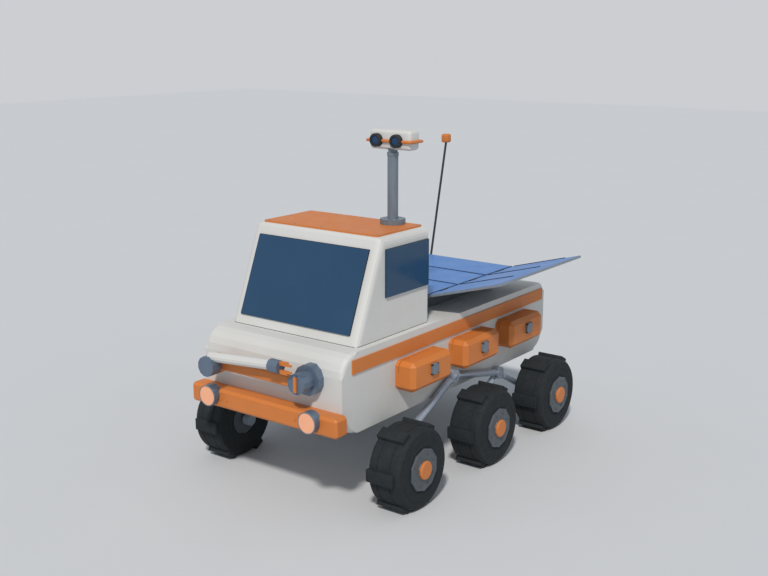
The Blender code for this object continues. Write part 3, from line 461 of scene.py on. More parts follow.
class Form:
    """A mesh in the making: shapes are added to it one after the other."""

    def __init__(self) -> None:
        """Starts with no shape."""
        self.mesh = bmesh.new()

    def block(self, low: Point, high: Point, bevel: float = 0.0, segments: int = 2,
              turn: Matrix | None = None) -> "Form":
        """Adds a block.

        Args:
            low: its lowest corner.
            high: its highest corner.
            bevel: how far its edges are rounded.
            segments: how many steps the rounding has.
            turn: a transform that is applied to it last.

        Returns:
            This form.
        """
        made = bmesh.new()
        bmesh.ops.create_cube(made, size=1.0)
        bmesh.ops.scale(made, verts=made.verts, vec=[b - a for a, b in zip(low, high)])
        bmesh.ops.translate(made, verts=made.verts, vec=[(a + b) / 2 for a, b in zip(low, high)])
        if bevel:
            bmesh.ops.bevel(made, geom=made.edges[:], offset=bevel, segments=segments, profile=0.5,
                            affect="EDGES", clamp_overlap=True)
        return self.take(made, turn)

    def turned(self, profile: Sequence[Pair], sides: int, centre: Point, axis: Axis) -> "Form":
        """Adds a turned shape.

        Args:
            profile: distances along the axis and radii, from one end to the other.
            sides: how many sides it has.
            centre: the point on the axis that distances start from.
            axis: the axis it is turned round.

        Returns:
            This form.
        """
        made = bmesh.new()
        angles = [2 * math.pi * (k + 0.5) / sides for k in range(sides)]
        rings = [[made.verts.new(around(centre, axis, distance, radius, angle)) for angle in angles]
                 for distance, radius in profile]
        for near, far in zip(rings, rings[1:]):
            for k in range(sides):
                m = (k + 1) % sides
                made.faces.new((near[k], near[m], far[m], far[k]))
        for ring in (rings[0], rings[-1]):
            made.faces.new(ring)
        bmesh.ops.recalc_face_normals(made, faces=made.faces[:])
        return self.take(made)

    def hoop(self, profile: Sequence[Pair], sides: int, centre: Point, axis: Axis) -> "Form":
        """Adds a ring whose closed section is given as distances along the axis and radii.

        Args:
            profile: the section's corners in order.
            sides: how many sides the ring has.
            centre: the point on the axis that distances start from.
            axis: the ring's axis.

        Returns:
            This form.
        """
        made = bmesh.new()
        angles = [2 * math.pi * (k + 0.5) / sides for k in range(sides)]
        loops = [[made.verts.new(around(centre, axis, distance, radius, angle))
                  for distance, radius in profile] for angle in angles]
        count = len(profile)
        for k in range(sides):
            near, far = loops[k], loops[(k + 1) % sides]
            for i in range(count):
                j = (i + 1) % count
                made.faces.new((near[i], near[j], far[j], far[i]))
        bmesh.ops.recalc_face_normals(made, faces=made.faces[:])
        return self.take(made)

    def bolt(self, place: Point, out: Point, radius: float, height: float) -> "Form":
        """Adds a hexagon bolt head on a washer.

        Args:
            place: the point on the surface.
            out: the direction it stands out in.
            radius: the head's radius.
            height: the head's height.

        Returns:
            This form.
        """
        turn = Matrix.Translation(place) @ Vector(out).to_track_quat("Z", "Y").to_matrix().to_4x4()
        washer = (16, radius * 1.45, -0.002, height * 0.25)
        head = (6, radius, 0.0, height)
        for sides, size, low, high in (washer, head):
            made = bmesh.new()
            bmesh.ops.create_cone(made, cap_ends=True, segments=sides, radius1=size, radius2=size * 0.94,
                                  depth=high - low)
            bmesh.ops.translate(made, verts=made.verts, vec=(0.0, 0.0, (low + high) / 2))
            self.take(made, turn)
        return self

    def strip(self, path: Sequence[Point], radius: float, closed: bool = False, sides: int = 8) -> "Form":
        """Adds a round bead along a path.

        Args:
            path: the points it follows.
            radius: the bead's radius.
            closed: whether the last point joins the first.
            sides: how many sides the bead has.

        Returns:
            This form.
        """
        curve = bpy.data.curves.new("bead", "CURVE")
        curve.dimensions = "3D"
        curve.bevel_depth = radius
        curve.bevel_resolution = max(0, sides // 4 - 1)
        spline = curve.splines.new("POLY")
        spline.points.add(len(path) - 1)
        for point, place in zip(spline.points, path):
            point.co = (*place, 1.0)
        spline.use_cyclic_u = closed
        curve.use_fill_caps = not closed
        holder = bpy.data.objects.new("bead", curve)
        bpy.context.scene.collection.objects.link(holder)
        bpy.context.view_layer.update()
        made = bmesh.new()
        evaluated = holder.evaluated_get(bpy.context.evaluated_depsgraph_get())
        made.from_mesh(evaluated.to_mesh())
        evaluated.to_mesh_clear()
        bpy.data.objects.remove(holder)
        bpy.data.curves.remove(curve)
        return self.take(made)

    def slab(self, outline: Sequence[Pair], low: float, high: float,
             turn: Matrix | None = None) -> "Form":
        """Adds a flat plate of any outline.

        Args:
            outline: its corners seen from above, in order.
            low: the height of its underside.
            high: the height of its top.
            turn: a transform that is applied to it last.

        Returns:
            This form.
        """
        made = bmesh.new()
        below = [made.verts.new((x, y, low)) for x, y in outline]
        above = [made.verts.new((x, y, high)) for x, y in outline]
        made.faces.new(below)
        made.faces.new(above)
        for i in range(len(outline)):
            j = (i + 1) % len(outline)
            made.faces.new((below[i], below[j], above[j], above[i]))
        bmesh.ops.recalc_face_normals(made, faces=made.faces[:])
        bmesh.ops.triangulate(made, faces=[face for face in made.faces if len(face.verts) > 4])
        return self.take(made, turn)

    def less(self, tool: "Form") -> "Form":
        """Cuts another form out of this one, and uses the other up.

        Args:
            tool: the form that is taken away.

        Returns:
            This form.
        """
        holders = []
        for name, form in (("whole", self), ("tool", tool)):
            mesh = bpy.data.meshes.new(name)
            form.mesh.to_mesh(mesh)
            form.mesh.free()
            holder = bpy.data.objects.new(name, mesh)
            bpy.context.scene.collection.objects.link(holder)
            holders.append(holder)
        whole, cutter = holders
        cut = whole.modifiers.new("cut", "BOOLEAN")
        cut.operation = "DIFFERENCE"
        cut.solver = "EXACT"
        cut.use_self = True
        cut.object = cutter
        bpy.context.view_layer.update()
        evaluated = whole.evaluated_get(bpy.context.evaluated_depsgraph_get())
        self.mesh = bmesh.new()
        self.mesh.from_mesh(evaluated.to_mesh())
        evaluated.to_mesh_clear()
        for holder in holders:
            mesh = holder.data
            bpy.data.objects.remove(holder)
            bpy.data.meshes.remove(mesh)
        return self

    def take(self, made: bmesh.types.BMesh, turn: Matrix | None = None) -> "Form":
        """Moves another mesh's faces into this form.

        Args:
            made: the other mesh, which is used up.
            turn: a transform for it.

        Returns:
            This form.
        """
        if turn is not None:
            bmesh.ops.transform(made, matrix=turn, verts=made.verts)
        keep = bpy.data.meshes.new("work")
        made.to_mesh(keep)
        made.free()
        self.mesh.from_mesh(keep)
        bpy.data.meshes.remove(keep)
        return self

    def piece(self, name: str, body: str, finish: str, replaces: Iterable[str] = (),
              smooth: float = 32.0) -> None:
        """Turns the form into a piece of the rover.

        Args:
            name: the piece's name.
            body: the body it rides on.
            finish: the name of its finish.
            replaces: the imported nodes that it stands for.
            smooth: the angle in degrees above which its edges stay sharp.
        """
        mesh = bpy.data.meshes.new(name)
        self.mesh.to_mesh(mesh)
        self.mesh.free()
        thing = bpy.data.objects.new(name, mesh)
        bpy.context.scene.collection.objects.link(thing)
        mesh.materials.append(STORE.get(finish))
        mesh.shade_smooth()
        mesh.set_sharp_from_angle(angle=math.radians(smooth))
        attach(thing, body)
        if replaces:
            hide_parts(*replaces)
        LOG.info("%s: %d faces on %s", name, len(mesh.polygons), body)


def coat(nodes: Iterable[str], finish: str) -> None:
    """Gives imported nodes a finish.

    Args:
        nodes: their names.
        finish: the finish's name.
    """
    for name in nodes:
        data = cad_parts[name].data
        data.materials.clear()
        data.materials.append(STORE.get(finish))
        LOG.info("%s wears %s", name, finish)


@dataclass
class Wheel:
    """One wheel: a lugged tyre and its hub. Distances are measured outwards from its outer face."""

    axle: str
    side: str
    tyre_radius: float = 0.455
    tyre_sides: int = 48
    width: float = 0.4155
    rib: float = 0.004
    groove: float = 0.006
    lugs: int = 6
    lug_height: float = 0.042
    lug_length: float = 0.14
    lug_root: float = 0.02
    lug_outer: float = 0.055
    lug_inner: float = 0.012
    lug_bevel: float = 0.005
    barrel: float = 0.199
    barrel_length: float = 0.4
    seat: float = 0.0006
    plate_radius: float = 0.245
    plate_proud: float = 0.022
    plate_sides: int = 10
    dish: float = 0.003
    cap_radius: float = 0.106
    cap_length: float = 0.03
    cap_sides: int = 12
    bolts: int = 8
    bolt_radius: float = 0.011
    bolt_height: float = 0.008

    @property
    def name(self) -> str:
        """The wheel's name."""
        return f"{self.axle}_{self.side}"

    @property
    def body(self) -> str:
        """The body that the wheel is."""
        return f"wheel_{self.name}"

    @property
    def out(self) -> float:
        """The direction along X that the wheel faces."""
        return OUTWARD[self.side]

    def face(self) -> Point:
        """Finds the middle of the wheel's outer face.

        Returns:
            The point.
        """
        low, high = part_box(f"tyre_{self.axle}_{self.side}")
        x = high.x if self.out > 0 else low.x
        return (x, (low.y + high.y) / 2, (low.z + high.z) / 2)

    def section(self, rows: Iterable[Pair]) -> list[Pair]:
        """Turns outward distances into distances along X."""
        return [(self.out * distance, radius) for distance, radius in rows]

    def build(self) -> None:
        """Builds the tyre, the hub with its cap, and the bolts."""
        centre = self.face()
        self.build_tyre(centre)
        self.build_hub(centre)
        self.build_bolts(centre)

    def build_tyre(self, centre: Point) -> None:
        """Builds the tyre with its lugs, sidewall ribs and fine grooves.

        Args:
            centre: the middle of the wheel's outer face.
        """
        radius, width, rib = self.tyre_radius, self.width, self.rib
        # distance and radius, from the bore up to the shoulder
        wall = [(-rib, 0.2), (-rib, 0.252), (0.0, 0.258), (0.0, 0.266), (-rib, 0.272), (-rib, 0.345),
                (0.0, 0.35), (0.0, 0.357), (-rib, 0.362), (-rib, radius - 0.034),
                (-0.003, radius - 0.027), (-0.027, radius - 0.003), (-0.034, radius)]
        tread = []
        for share in (0.3, 0.7):
            at, floor = -width * share, radius - self.groove
            tread += [(at + 0.008, radius), (at + 0.005, floor), (at - 0.005, floor), (at - 0.008, radius)]
        back = [(-width - distance, height) for distance, height in reversed(wall)]
        tyre = Form().hoop(self.section(wall + tread + back), self.tyre_sides, centre, Axis.X)
        ends = sorted((-self.out * self.lug_outer, -self.out * (width - self.lug_inner)))
        low = (ends[0], -self.lug_length / 2, -radius - self.lug_height)
        high = (ends[1], self.lug_length / 2, -radius + self.lug_root)
        for i in range(self.lugs):
            turn = Matrix.Translation(centre) @ Matrix.Rotation(2 * math.pi * (i + 0.5) / self.lugs, 4, "X")
            tyre.block(low, high, self.lug_bevel, 2, turn)
        tyre.piece(f"tyre_tread_{self.name}", self.body, "tyre_rubber", [f"tyre_{self.name}"])

    def build_hub(self, centre: Point) -> None:
        """Builds the hub's barrel and plate in one piece, and its cap.

        Args:
            centre: the middle of the wheel's outer face.
        """
        edge, boss, proud = self.plate_radius, self.cap_radius, self.plate_proud
        plate = self.section([
            (-self.barrel_length, self.barrel), (self.seat, self.barrel), (self.seat, edge),
            (proud - 0.006, edge), (proud, edge - 0.006), (proud, edge - 0.02),
            (proud - self.dish, edge - 0.024), (proud - self.dish, boss + 0.016),
            (proud + self.dish, boss + 0.012), (proud + self.dish, 0.02)])
        hub = Form().turned(plate, self.plate_sides, centre, Axis.X)
        hub.piece(f"hub_plate_{self.name}", self.body, "dark_metal_coat", [f"hub_{self.name}"], CRISP)
        top = proud + self.cap_length
        dome = self.section([(proud - 0.004, boss), (top - 0.01, boss), (top, boss - 0.01), (top, 0.03),
                             (top - 0.002, 0.026)])
        cap = Form().turned(dome, self.cap_sides, centre, Axis.X)
        cap.piece(f"hub_cap_{self.name}", self.body, "orange_coat", smooth=CRISP)

    def build_bolts(self, centre: Point) -> None:
        """Builds the ring of bolts on the hub's plate.

        Args:
            centre: the middle of the wheel's outer face.
        """
        x, y, z = centre
        bolts = Form()
        ring = (self.plate_radius + self.cap_radius) / 2 + 0.004
        for i in range(self.bolts):
            angle = 2 * math.pi * (i + 0.5) / self.bolts
            place = (x + self.out * (self.plate_proud - self.dish), y + ring * math.cos(angle),
                     z + ring * math.sin(angle))
            bolts.bolt(place, (self.out, 0.0, 0.0), self.bolt_radius, self.bolt_height)
        bolts.piece(f"wheel_bolts_{self.name}", self.body, "dark_metal_coat", smooth=CRISP)


@dataclass
class Chassis:
    """Hull, stripes, bumper and the suspension's legs."""

    bracket_spread: float = 0.55
    bolt_step: float = 0.05
    bolt_radius: float = 0.013
    bolt_height: float = 0.009
    rocker_face: float = 1.1005
    pivot_y: float = -0.0465
    pivot_z: float = 1.099
    cap_radius: float = 0.04

    def build(self) -> None:
        """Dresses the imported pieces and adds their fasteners."""
        coat(["hull"], "white_coat")
        coat(["stripe_left", "stripe_right", "bumper"], "orange_coat")
        coat(["rocker_left", "rocker_right", "bogie_left", "bogie_right"], "bright_metal")
        self.build_bumper_bolts()
        self.build_pivot_caps()

    def build_bumper_bolts(self) -> None:
        """Adds the bolts that hold the bumper to its brackets."""
        low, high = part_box("bumper")
        bolts = Form()
        z = (low.z + high.z) / 2
        for x in (-self.bracket_spread, self.bracket_spread):
            for step in (-self.bolt_step, self.bolt_step):
                bolts.bolt((x + step, low.y, z), (0.0, -1.0, 0.0), self.bolt_radius, self.bolt_height)
        bolts.piece("bumper_bolts", "rover", "orange_coat", smooth=CRISP)

    def build_pivot_caps(self) -> None:
        """Adds a domed cap on each rocker's pivot, turned towards the wheels."""
        for side, out in OUTWARD.items():
            # distance off the rocker, share of the radius
            dome = [(out * distance, self.cap_radius * share)
                    for distance, share in ((0.0, 1.0), (0.004, 0.92), (0.008, 0.6), (0.0095, 0.2))]
            caps = Form().turned(dome, 16, (out * self.rocker_face, self.pivot_y, self.pivot_z), Axis.X)
            caps.piece(f"pivot_caps_{side}", "rover", "bright_metal")


@dataclass
class Lamps:
    """The two headlamps."""

    radius: float = 0.12
    lens: float = 0.112

    def build(self) -> None:
        """Dresses the housings and lenses and adds their bezels."""
        # the housings' blue tint is a painted reflection of the sky
        coat(["lamp_left", "lamp_right"], "arm_metal_painted_sky_reflection")
        coat(["lamp_lens_left", "lamp_lens_right"], "headlamp_glass")
        # distance behind the lens's face, radius
        section = [(0.005, self.radius + 0.0008), (-0.001, self.radius), (-0.003, self.radius - 0.004),
                   (-0.002, self.lens - 0.003), (0.003, self.lens - 0.004), (0.005, self.lens)]
        for side in OUTWARD:
            low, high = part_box(f"lamp_lens_{side}")
            centre = ((low.x + high.x) / 2, low.y, (low.z + high.z) / 2)
            bezel = Form().hoop(section, 32, centre, Axis.Y)
            bezel.piece(f"lamp_bezel_{side}", "rover", "grey_metal")


@dataclass
class Cab:
    """Cab shell, roof plate, glass and seals."""

    rake: float = 0.4054
    glass: float = 0.022
    seal: float = 0.007
    side_seal: float = 0.0056
    side_face: float = 0.919
    foot_seal: float = 0.004
    foot_corner: float = 0.05
    screw_inset: float = 0.045
    screws: int = 5

    def build(self) -> None:
        """Dresses the cab and adds the seals and the roof's screws."""
        coat(["cab"], "white_coat")
        coat(["roof_plate"], "orange_coat")
        coat(["windscreen", "side_window_left", "side_window_right"], "cab_glass")
        self.build_screen_seal()
        self.build_side_seals()
        self.build_foot_seal()
        self.build_roof_screws()

    def build_screen_seal(self) -> None:
        """Runs a rubber bead round the windscreen."""
        low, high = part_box("windscreen")
        lean = math.atan(self.rake)
        rise = self.glass / 2 * math.sin(lean)
        foot_y, foot_z = low.y + self.glass * math.cos(lean), low.z + rise
        head_y, head_z = high.y - 0.002, high.z - rise
        path = [(low.x, foot_y, foot_z), (high.x, foot_y, foot_z),
                (high.x, head_y, head_z), (low.x, head_y, head_z)]
        Form().strip(path, self.seal, True).piece("windscreen_seal", "rover", "seal_rubber")

    def build_side_seals(self) -> None:
        """Runs a rubber bead round each side window."""
        for side, out in OUTWARD.items():
            low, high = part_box(f"side_window_{side}")
            x = out * self.side_face
            path = [(x, low.y, low.z), (x, high.y, low.z), (x, high.y, high.z), (x, low.y, high.z)]
            Form().strip(path, self.side_seal, True).piece(f"side_seal_{side}", "rover", "seal_rubber")

    def build_foot_seal(self) -> None:
        """Runs a thin bead where the cab stands on the deck."""
        low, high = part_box("cab")
        front, rear = self.foot_corner, self.foot_corner / 2
        path = [(low.x + front, low.y, low.z), (high.x - front, low.y, low.z),
                (high.x, low.y + front, low.z), (high.x, high.y - rear, low.z),
                (high.x - rear, high.y, low.z), (low.x + rear, high.y, low.z),
                (low.x, high.y - rear, low.z), (low.x, low.y + front, low.z)]
        Form().strip(path, self.foot_seal, True).piece("cab_foot_seal", "rover", "seal_rubber")

    def build_roof_screws(self) -> None:
        """Adds the screws round the roof plate's edge."""
        low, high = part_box("roof_plate")
        inset = self.screw_inset
        span = high.x - low.x - 2 * inset
        xs = [low.x + inset + span * i / (self.screws - 1) for i in range(self.screws)]
        spots = [(x, y) for x in xs for y in (low.y + inset, high.y - inset)]
        spots += [(x, (low.y + high.y) / 2) for x in (low.x + inset, high.x - inset)]
        screws = Form()
        for x, y in spots:
            screws.turned([(-0.002, 0.012), (0.002, 0.012), (0.003, 0.009)], 12, (x, y, high.z), Axis.Z)
        screws.piece("roof_screws", "rover", "grey_metal")


@dataclass
class Locker:
    """One side locker: body, lid and latch."""

    side: str
    number: int
    cover: float = 0.0012
    half: float = 0.06
    latch_bottom: float = 1.347
    latch_depth: float = 0.0285
    rail: float = 0.016
    post: float = 0.018
    pull_half: float = 0.03
    pull_low: float = 0.03
    pull_high: float = 0.075
    lock_drop: float = 0.028

    @property
    def name(self) -> str:
        """The locker's name."""
        return f"{self.side}_{self.number}"

    def build(self) -> None:
        """Dresses the locker and its lid, and adds the latch."""
        name = self.name
        coat([f"locker_{name}", f"lid_{name}"], "orange_coat")
        low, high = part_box(f"lid_{name}")
        x = high.x if self.side == "left" else low.x
        y = (low.y + high.y) / 2
        self.build_latch(x, y)
        self.build_pull(x, y)

    def depth(self, x: float, back: float, front: float) -> list[float]:
        """Gives the two X of a slab on the latch, from how far its faces lie behind and in front of x."""
        out = OUTWARD[self.side]
        return sorted((x - out * back, x + out * front))

    def build_latch(self, x: float, y: float) -> None:
        """Adds the latch's frame and its plate.

        Args:
            x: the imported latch's outer face.
            y: the latch's middle.
        """
        half, grow = self.half, self.cover
        bottom, top = self.latch_bottom, self.latch_bottom + 2 * half
        inner, outer = self.depth(x, self.latch_depth, grow)
        latch = Form()
        # lowest and highest y, lowest and highest z
        for y0, y1, z0, z1 in (
            (y - half - grow, y + half + grow, bottom - grow, bottom + self.rail),
            (y - half - grow, y + half + grow, top - self.rail, top + grow),
            (y - half - grow, y - half + self.post, bottom - grow, top + grow),
            (y + half - self.post, y + half + grow, bottom - grow, top + grow),
        ):
            latch.block((inner, y0, z0), (outer, y1, z1), 0.002, 1)
        inner, outer = self.depth(x, 0.004, 0.0005)
        latch.block((inner, y - half, bottom), (outer, y + half, top))
        latch.piece(f"latch_{self.name}", f"lid_{self.name}", "grey_metal", smooth=CRISP)

    def build_pull(self, x: float, y: float) -> None:
        """Adds the latch's pull and the round lock over it.

        Args:
            x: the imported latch's outer face.
            y: the latch's middle.
        """
        out = OUTWARD[self.side]
        bottom, top = self.latch_bottom, self.latch_bottom + 2 * self.half
        inner, outer = self.depth(x, 0.001, self.cover)
        pull = Form().block((inner, y - self.pull_half, bottom + self.pull_low),
                            (outer, y + self.pull_half, bottom + self.pull_high), 0.0008, 1)
        button = [(-out * 0.002, 0.01), (out * self.cover, 0.01), (out * self.cover, 0.004)]
        pull.turned(button, 16, (x, y, top - self.lock_drop), Axis.X)
        pull.piece(f"latch_pull_{self.name}", f"lid_{self.name}", "grey_metal")


@dataclass(frozen=True)
class Fold:
    """Where a panel's notches and knuckles begin and end along Y, measured from each hinge station."""

    notch: Pair
    knuckle: Pair


@dataclass(frozen=True)
class Panel:
    """One panel of the array, as it lies before it is tilted."""

    name: str
    body: str
    xs: Pair
    ys: Pair
    bars: Pair
    top: float
    turn: Matrix


@dataclass
class SolarArray:
    """Pedestal, centre panel and the two wings."""

    rows: int = 3
    rim: float = 0.011
    bar: float = 0.008
    bar_height: float = 0.007
    bar_root: float = 0.004
    strip_height: float = 0.005
    strip: Pair = (0.024, 0.015)
    thick: float = 0.03
    tray_drop: float = 0.0016
    cell_depth: float = 0.006
    fold: float = 0.72
    gap: float = 0.004
    wing: float = 1.006
    bar_start: float = 0.02
    bar_end: float = 0.79
    centre_bar_inset: float = 0.026
    lean: float = 15.5
    knuckle: float = 0.012
    knuckle_clear: float = 0.0012
    knuckle_bevel: float = 0.0005
    centre_fold: Fold = Fold((-0.0003, 0.0803), (-0.0803, -0.0003))
    wing_fold: Fold = Fold((-0.0806, 0.0), (0.0003, 0.0797))

    def build(self) -> None:
        """Dresses the pedestal and builds the three panels."""
        coat(["array_pedestal"], "dark_metal_coat")
        low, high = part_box("array_centre")
        ys, top = (low.y, high.y), low.z + self.thick
        edge = self.fold - self.gap
        inset = self.centre_bar_inset
        self.build_panel(Panel("centre", "rover", (-edge, edge), ys, (inset - edge, edge - inset), top,
                               Matrix.Identity(4)))
        for side, out in OUTWARD.items():
            pivot = Vector((out * self.fold, 0.0, top))
            turn = (Matrix.Translation(pivot) @ Matrix.Rotation(-math.radians(self.lean) * out, 4, "Y")
                    @ Matrix.Translation(-pivot))
            xs = tuple(sorted((out * (self.fold + self.gap), out * (self.fold + self.wing))))
            bars = tuple(sorted((out * (self.fold + self.bar_start), out * (self.fold + self.bar_end))))
            self.build_panel(Panel(f"wing_{side}", f"wing_{side}", xs, ys, bars, top, turn))

    def build_panel(self, panel: Panel) -> None:
        """Builds one panel: its tray, its sheet of cells, and the bars, fold strips and knuckles in black,
        whose black is painted shade of the grooves between cell rows and of the gap at the fold.

        Args:
            panel: the panel.
        """
        low_y, high_y = panel.ys
        top, turn = panel.top, panel.turn
        centre = panel.name == "centre"
        fold = self.centre_fold if centre else self.wing_fold
        stations = [low_y + (high_y - low_y) * (i + 0.5) / self.rows for i in range(self.rows)]
        notches = [(y + fold.notch[0], y + fold.notch[1]) for y in stations]
        tray = Form().slab(self.outline(panel, notches, 0.0), top - self.thick, top - self.tray_drop, turn)
        cells = Form().slab(self.outline(panel, notches, self.rim), top - self.cell_depth, top, turn)
        # knuckles, bars and fold strips are real parts, drawn black as painted shade of the fold gap and of
        # the grooves between cell rows
        lines = Form()
        soft = self.knuckle_bevel
        seams = self.seams(panel.xs[0]) + self.seams(panel.xs[1])
        for side in seams:
            for y in stations:
                a, b = y + fold.knuckle[0], y + fold.knuckle[1]
                drum = [(a, self.knuckle - soft), (a + soft, self.knuckle), (b - soft, self.knuckle),
                        (b, self.knuckle - soft)]
                lines.turned(drum, 16, (side * self.fold, 0.0, top), Axis.Y)
        first_y, last_y = low_y + self.rim, high_y - self.rim
        pitch = (high_y - low_y - 2 * self.rim) / self.rows
        root = top - self.bar_root
        for i in range(1, self.rows if centre else self.rows + 1):
            y = first_y + i * pitch
            bar = self.corners(panel.bars, (y - self.bar / 2, y + self.bar / 2))
            lines.slab(bar, root, top + self.bar_height, turn)
        # black strips beside the fold: painted shade of the gap at the fold
        for side in seams if centre else ():
            xs = sorted(side * (self.fold - inset) for inset in self.strip)
            lines.slab(self.corners(xs, (first_y, last_y)), root, top + self.strip_height, turn)
        tray.piece(f"array_tray_{panel.name}", panel.body, "rim_metal", [f"array_{panel.name}"], CRISP)
        cells.piece(f"array_cells_{panel.name}", panel.body, "cell_blue", smooth=CRISP)
        lines.piece(f"array_painted_shade_bars_{panel.name}", panel.body, "cable_black_and_painted_shade", smooth=CRISP)

    def corners(self, xs: Sequence[float], ys: Sequence[float]) -> list[Pair]:
        """Returns a rectangle's corners in order."""
        return [(xs[0], ys[0]), (xs[1], ys[0]), (xs[1], ys[1]), (xs[0], ys[1])]

    def seams(self, x: float) -> list[float]:
        """Returns the fold that a side edge lies on, -1 for the right one and 1 for the left one."""
        return [side for side in (-1.0, 1.0) if abs(x - side * self.fold) < 0.01]

    def outline(self, panel: Panel, notches: Sequence[Pair], rim: float) -> list[Pair]:
        """Draws a panel's outline with the notches that its neighbour's knuckles turn in.

        Args:
            panel: the panel.
            notches: where the notches begin and end.
            rim: how far its free edges are drawn in.

        Returns:
            The outline's corners in order.
        """
        front, back = panel.ys[0] + rim, panel.ys[1] - rim
        points = []
        # side edge, the way into the panel, the order in which its corners are passed
        for x, inward, order in ((panel.xs[1], -1.0, 1), (panel.xs[0], 1.0, -1)):
            near = self.seams(x)
            if near:
                deep = near[0] * self.fold + inward * (self.knuckle + self.knuckle_clear)
                edge = [(x, front)]
                for a, b in notches:
                    edge += [(x, a), (deep, a), (deep, b), (x, b)]
                edge.append((x, back))
            else:
                x += inward * rim
                edge = [(x, front), (x, back)]
            points += edge[::order]
        return points


@dataclass
class CameraMast:
    """Mast, neck, camera head, its eyes and its band."""

    x: float = 0.52
    y: float = -0.5265
    foot_height: float = 0.06
    bolts: int = 8
    bolt_ring: float = 0.108
    bolt_radius: float = 0.01
    bolt_height: float = 0.007
    half: float = 0.285
    rounding: float = 0.042
    tilt_height: float = 3.834
    pocket_half_width: float = 0.046
    pocket_half_depth: float = 0.0548
    pocket_top: float = 3.886
    pin_radius: float = 0.0128
    pin_half_length: float = 0.076
    eye_length: float = 0.055
    eye_root: float = 0.012
    eye_radius: float = 0.076
    eye_spread: float = 0.138
    eye_shift: float = -0.03
    eye_height: float = 3.89
    band_proud: float = 0.03
    band_low: float = 3.868
    band_high: float = 3.902
    band_rounding: float = 0.0165
    band_lap: float = 0.012
    cut: float = 0.02

    def build(self) -> None:
        """Dresses the mast and builds the head that tilts on it."""
        coat(["mast", "camera_neck"], "grey_metal")
        low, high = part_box("camera_head")
        front, back = low.y + self.eye_length, high.y
        self.build_foot_bolts()
        self.build_head(front, back, low.z, high.z)
        self.build_eyes(low.y, front)
        self.build_band(front, back)

    def build_foot_bolts(self) -> None:
        """Adds the bolts on the mast's foot."""
        low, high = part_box("mast")
        centre = (low + high) / 2
        ring = self.bolt_ring
        bolts = Form()
        for i in range(self.bolts):
            angle = 2 * math.pi * i / self.bolts
            place = (centre.x + ring * math.cos(angle), centre.y + ring * math.sin(angle),
                     low.z + self.foot_height)
            bolts.bolt(place, (0.0, 0.0, 1.0), self.bolt_radius, self.bolt_height)
        bolts.piece("mast_bolts", "rover", "bright_metal", smooth=CRISP)

    def build_head(self, front: float, back: float, bottom: float, top: float) -> None:
        """Builds the rounded case, with the pocket that the neck tilts in.

        Args:
            front: its front face.
            back: its rear face.
            bottom: its underside.
            top: its top.
        """
        x, y = self.x, self.y
        case = Form().block((x - self.half, front, bottom), (x + self.half, back, top), self.rounding, 5)
        case.less(Form().block((x - self.pocket_half_width, y - self.pocket_half_depth, bottom - self.cut),
                               (x + self.pocket_half_width, y + self.pocket_half_depth, self.pocket_top)))
        pin = [(-self.pin_half_length, self.pin_radius), (self.pin_half_length, self.pin_radius)]
        case.less(Form().turned(pin, 24, (x, y, self.tilt_height), Axis.X))
        case.piece("camera_case", "camera_head", "white_coat", ["camera_head"])

    def build_eyes(self, tip: float, front: float) -> None:
        """Builds a dark sleeve and a blue lens for each eye.

        Args:
            tip: where the sleeves end in front.
            front: the case's front face.
        """
        radius, reach = self.eye_radius, front - tip + self.eye_root
        # distance behind the sleeve's tip, radius
        tube = [(0.001, 0.05), (0.0, radius - 0.006), (0.003, radius - 0.001), (0.008, radius),
                (reach, radius), (reach, 0.03), (0.02, 0.03), (0.016, 0.048)]
        glass = [(0.019, 0.049), (0.011, 0.0485), (0.007, 0.038), (0.0045, 0.02), (0.004, 0.004)]
        for name, side in OUTWARD.items():
            centre = (self.x + self.eye_shift + side * self.eye_spread, tip, self.eye_height)
            Form().hoop(tube, 32, centre, Axis.Y).piece(f"eye_sleeve_{name}", "camera_head", "cable_black_and_painted_shade")
            Form().turned(glass, 32, centre, Axis.Y).piece(f"eye_lens_{name}", "camera_head", "eye_glass")

    def build_band(self, front: float, back: float) -> None:
        """Builds the round-edged band round the case.

        Args:
            front: the case's front face.
            back: the case's rear face.
        """
        out, low, high, inner = self.band_proud, self.band_low, self.band_high, self.band_lap
        left, right = self.x - self.half, self.x + self.half
        band = Form().block((left - out, front - out, low), (right + out, back + out, high),
                            self.band_rounding, 4)
        band.less(Form().block((left + inner, front + inner, low - self.cut),
                               (right - inner, back - inner, high + self.cut)))
        band.piece("camera_band_ring", "camera_head", "orange_coat", ["camera_band"])


@dataclass
class Aerial:
    """The whip aerial on the rear deck."""

    x: float = -0.7
    foot_radius: float = 0.05
    foot_height: float = 0.03
    rod: float = 0.0155
    rod_start: float = 0.02
    rod_end: float = 0.1
    tip_half: float = 0.055
    tip_height: float = 0.12
    tip_rounding: float = 0.026

    def build(self) -> None:
        """Builds the foot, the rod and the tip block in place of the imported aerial."""
        low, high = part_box("aerial")
        x, foot_y, deck, half = self.x, low.y + self.foot_radius, low.z, self.tip_half
        # distance over the deck, radius
        foot = [(0.0, self.foot_radius), (0.024, self.foot_radius), (self.foot_height, 0.044),
                (self.foot_height, 0.022), (0.07, 0.016)]
        rod = Form().turned(foot, 24, (x, foot_y, deck), Axis.Z)
        rod.strip([(x, foot_y, deck + self.rod_start), (x, high.y - half, high.z - self.rod_end)], self.rod,
                  sides=12)
        rod.piece("aerial_rod", "rover", "cable_black_and_painted_shade", ["aerial"])
        tip = Form().block((x - half, high.y - 2 * half, high.z - self.tip_height),
                           (x + half, high.y, high.z), self.tip_rounding, 4)
        tip.piece("aerial_tip", "rover", "orange_coat")


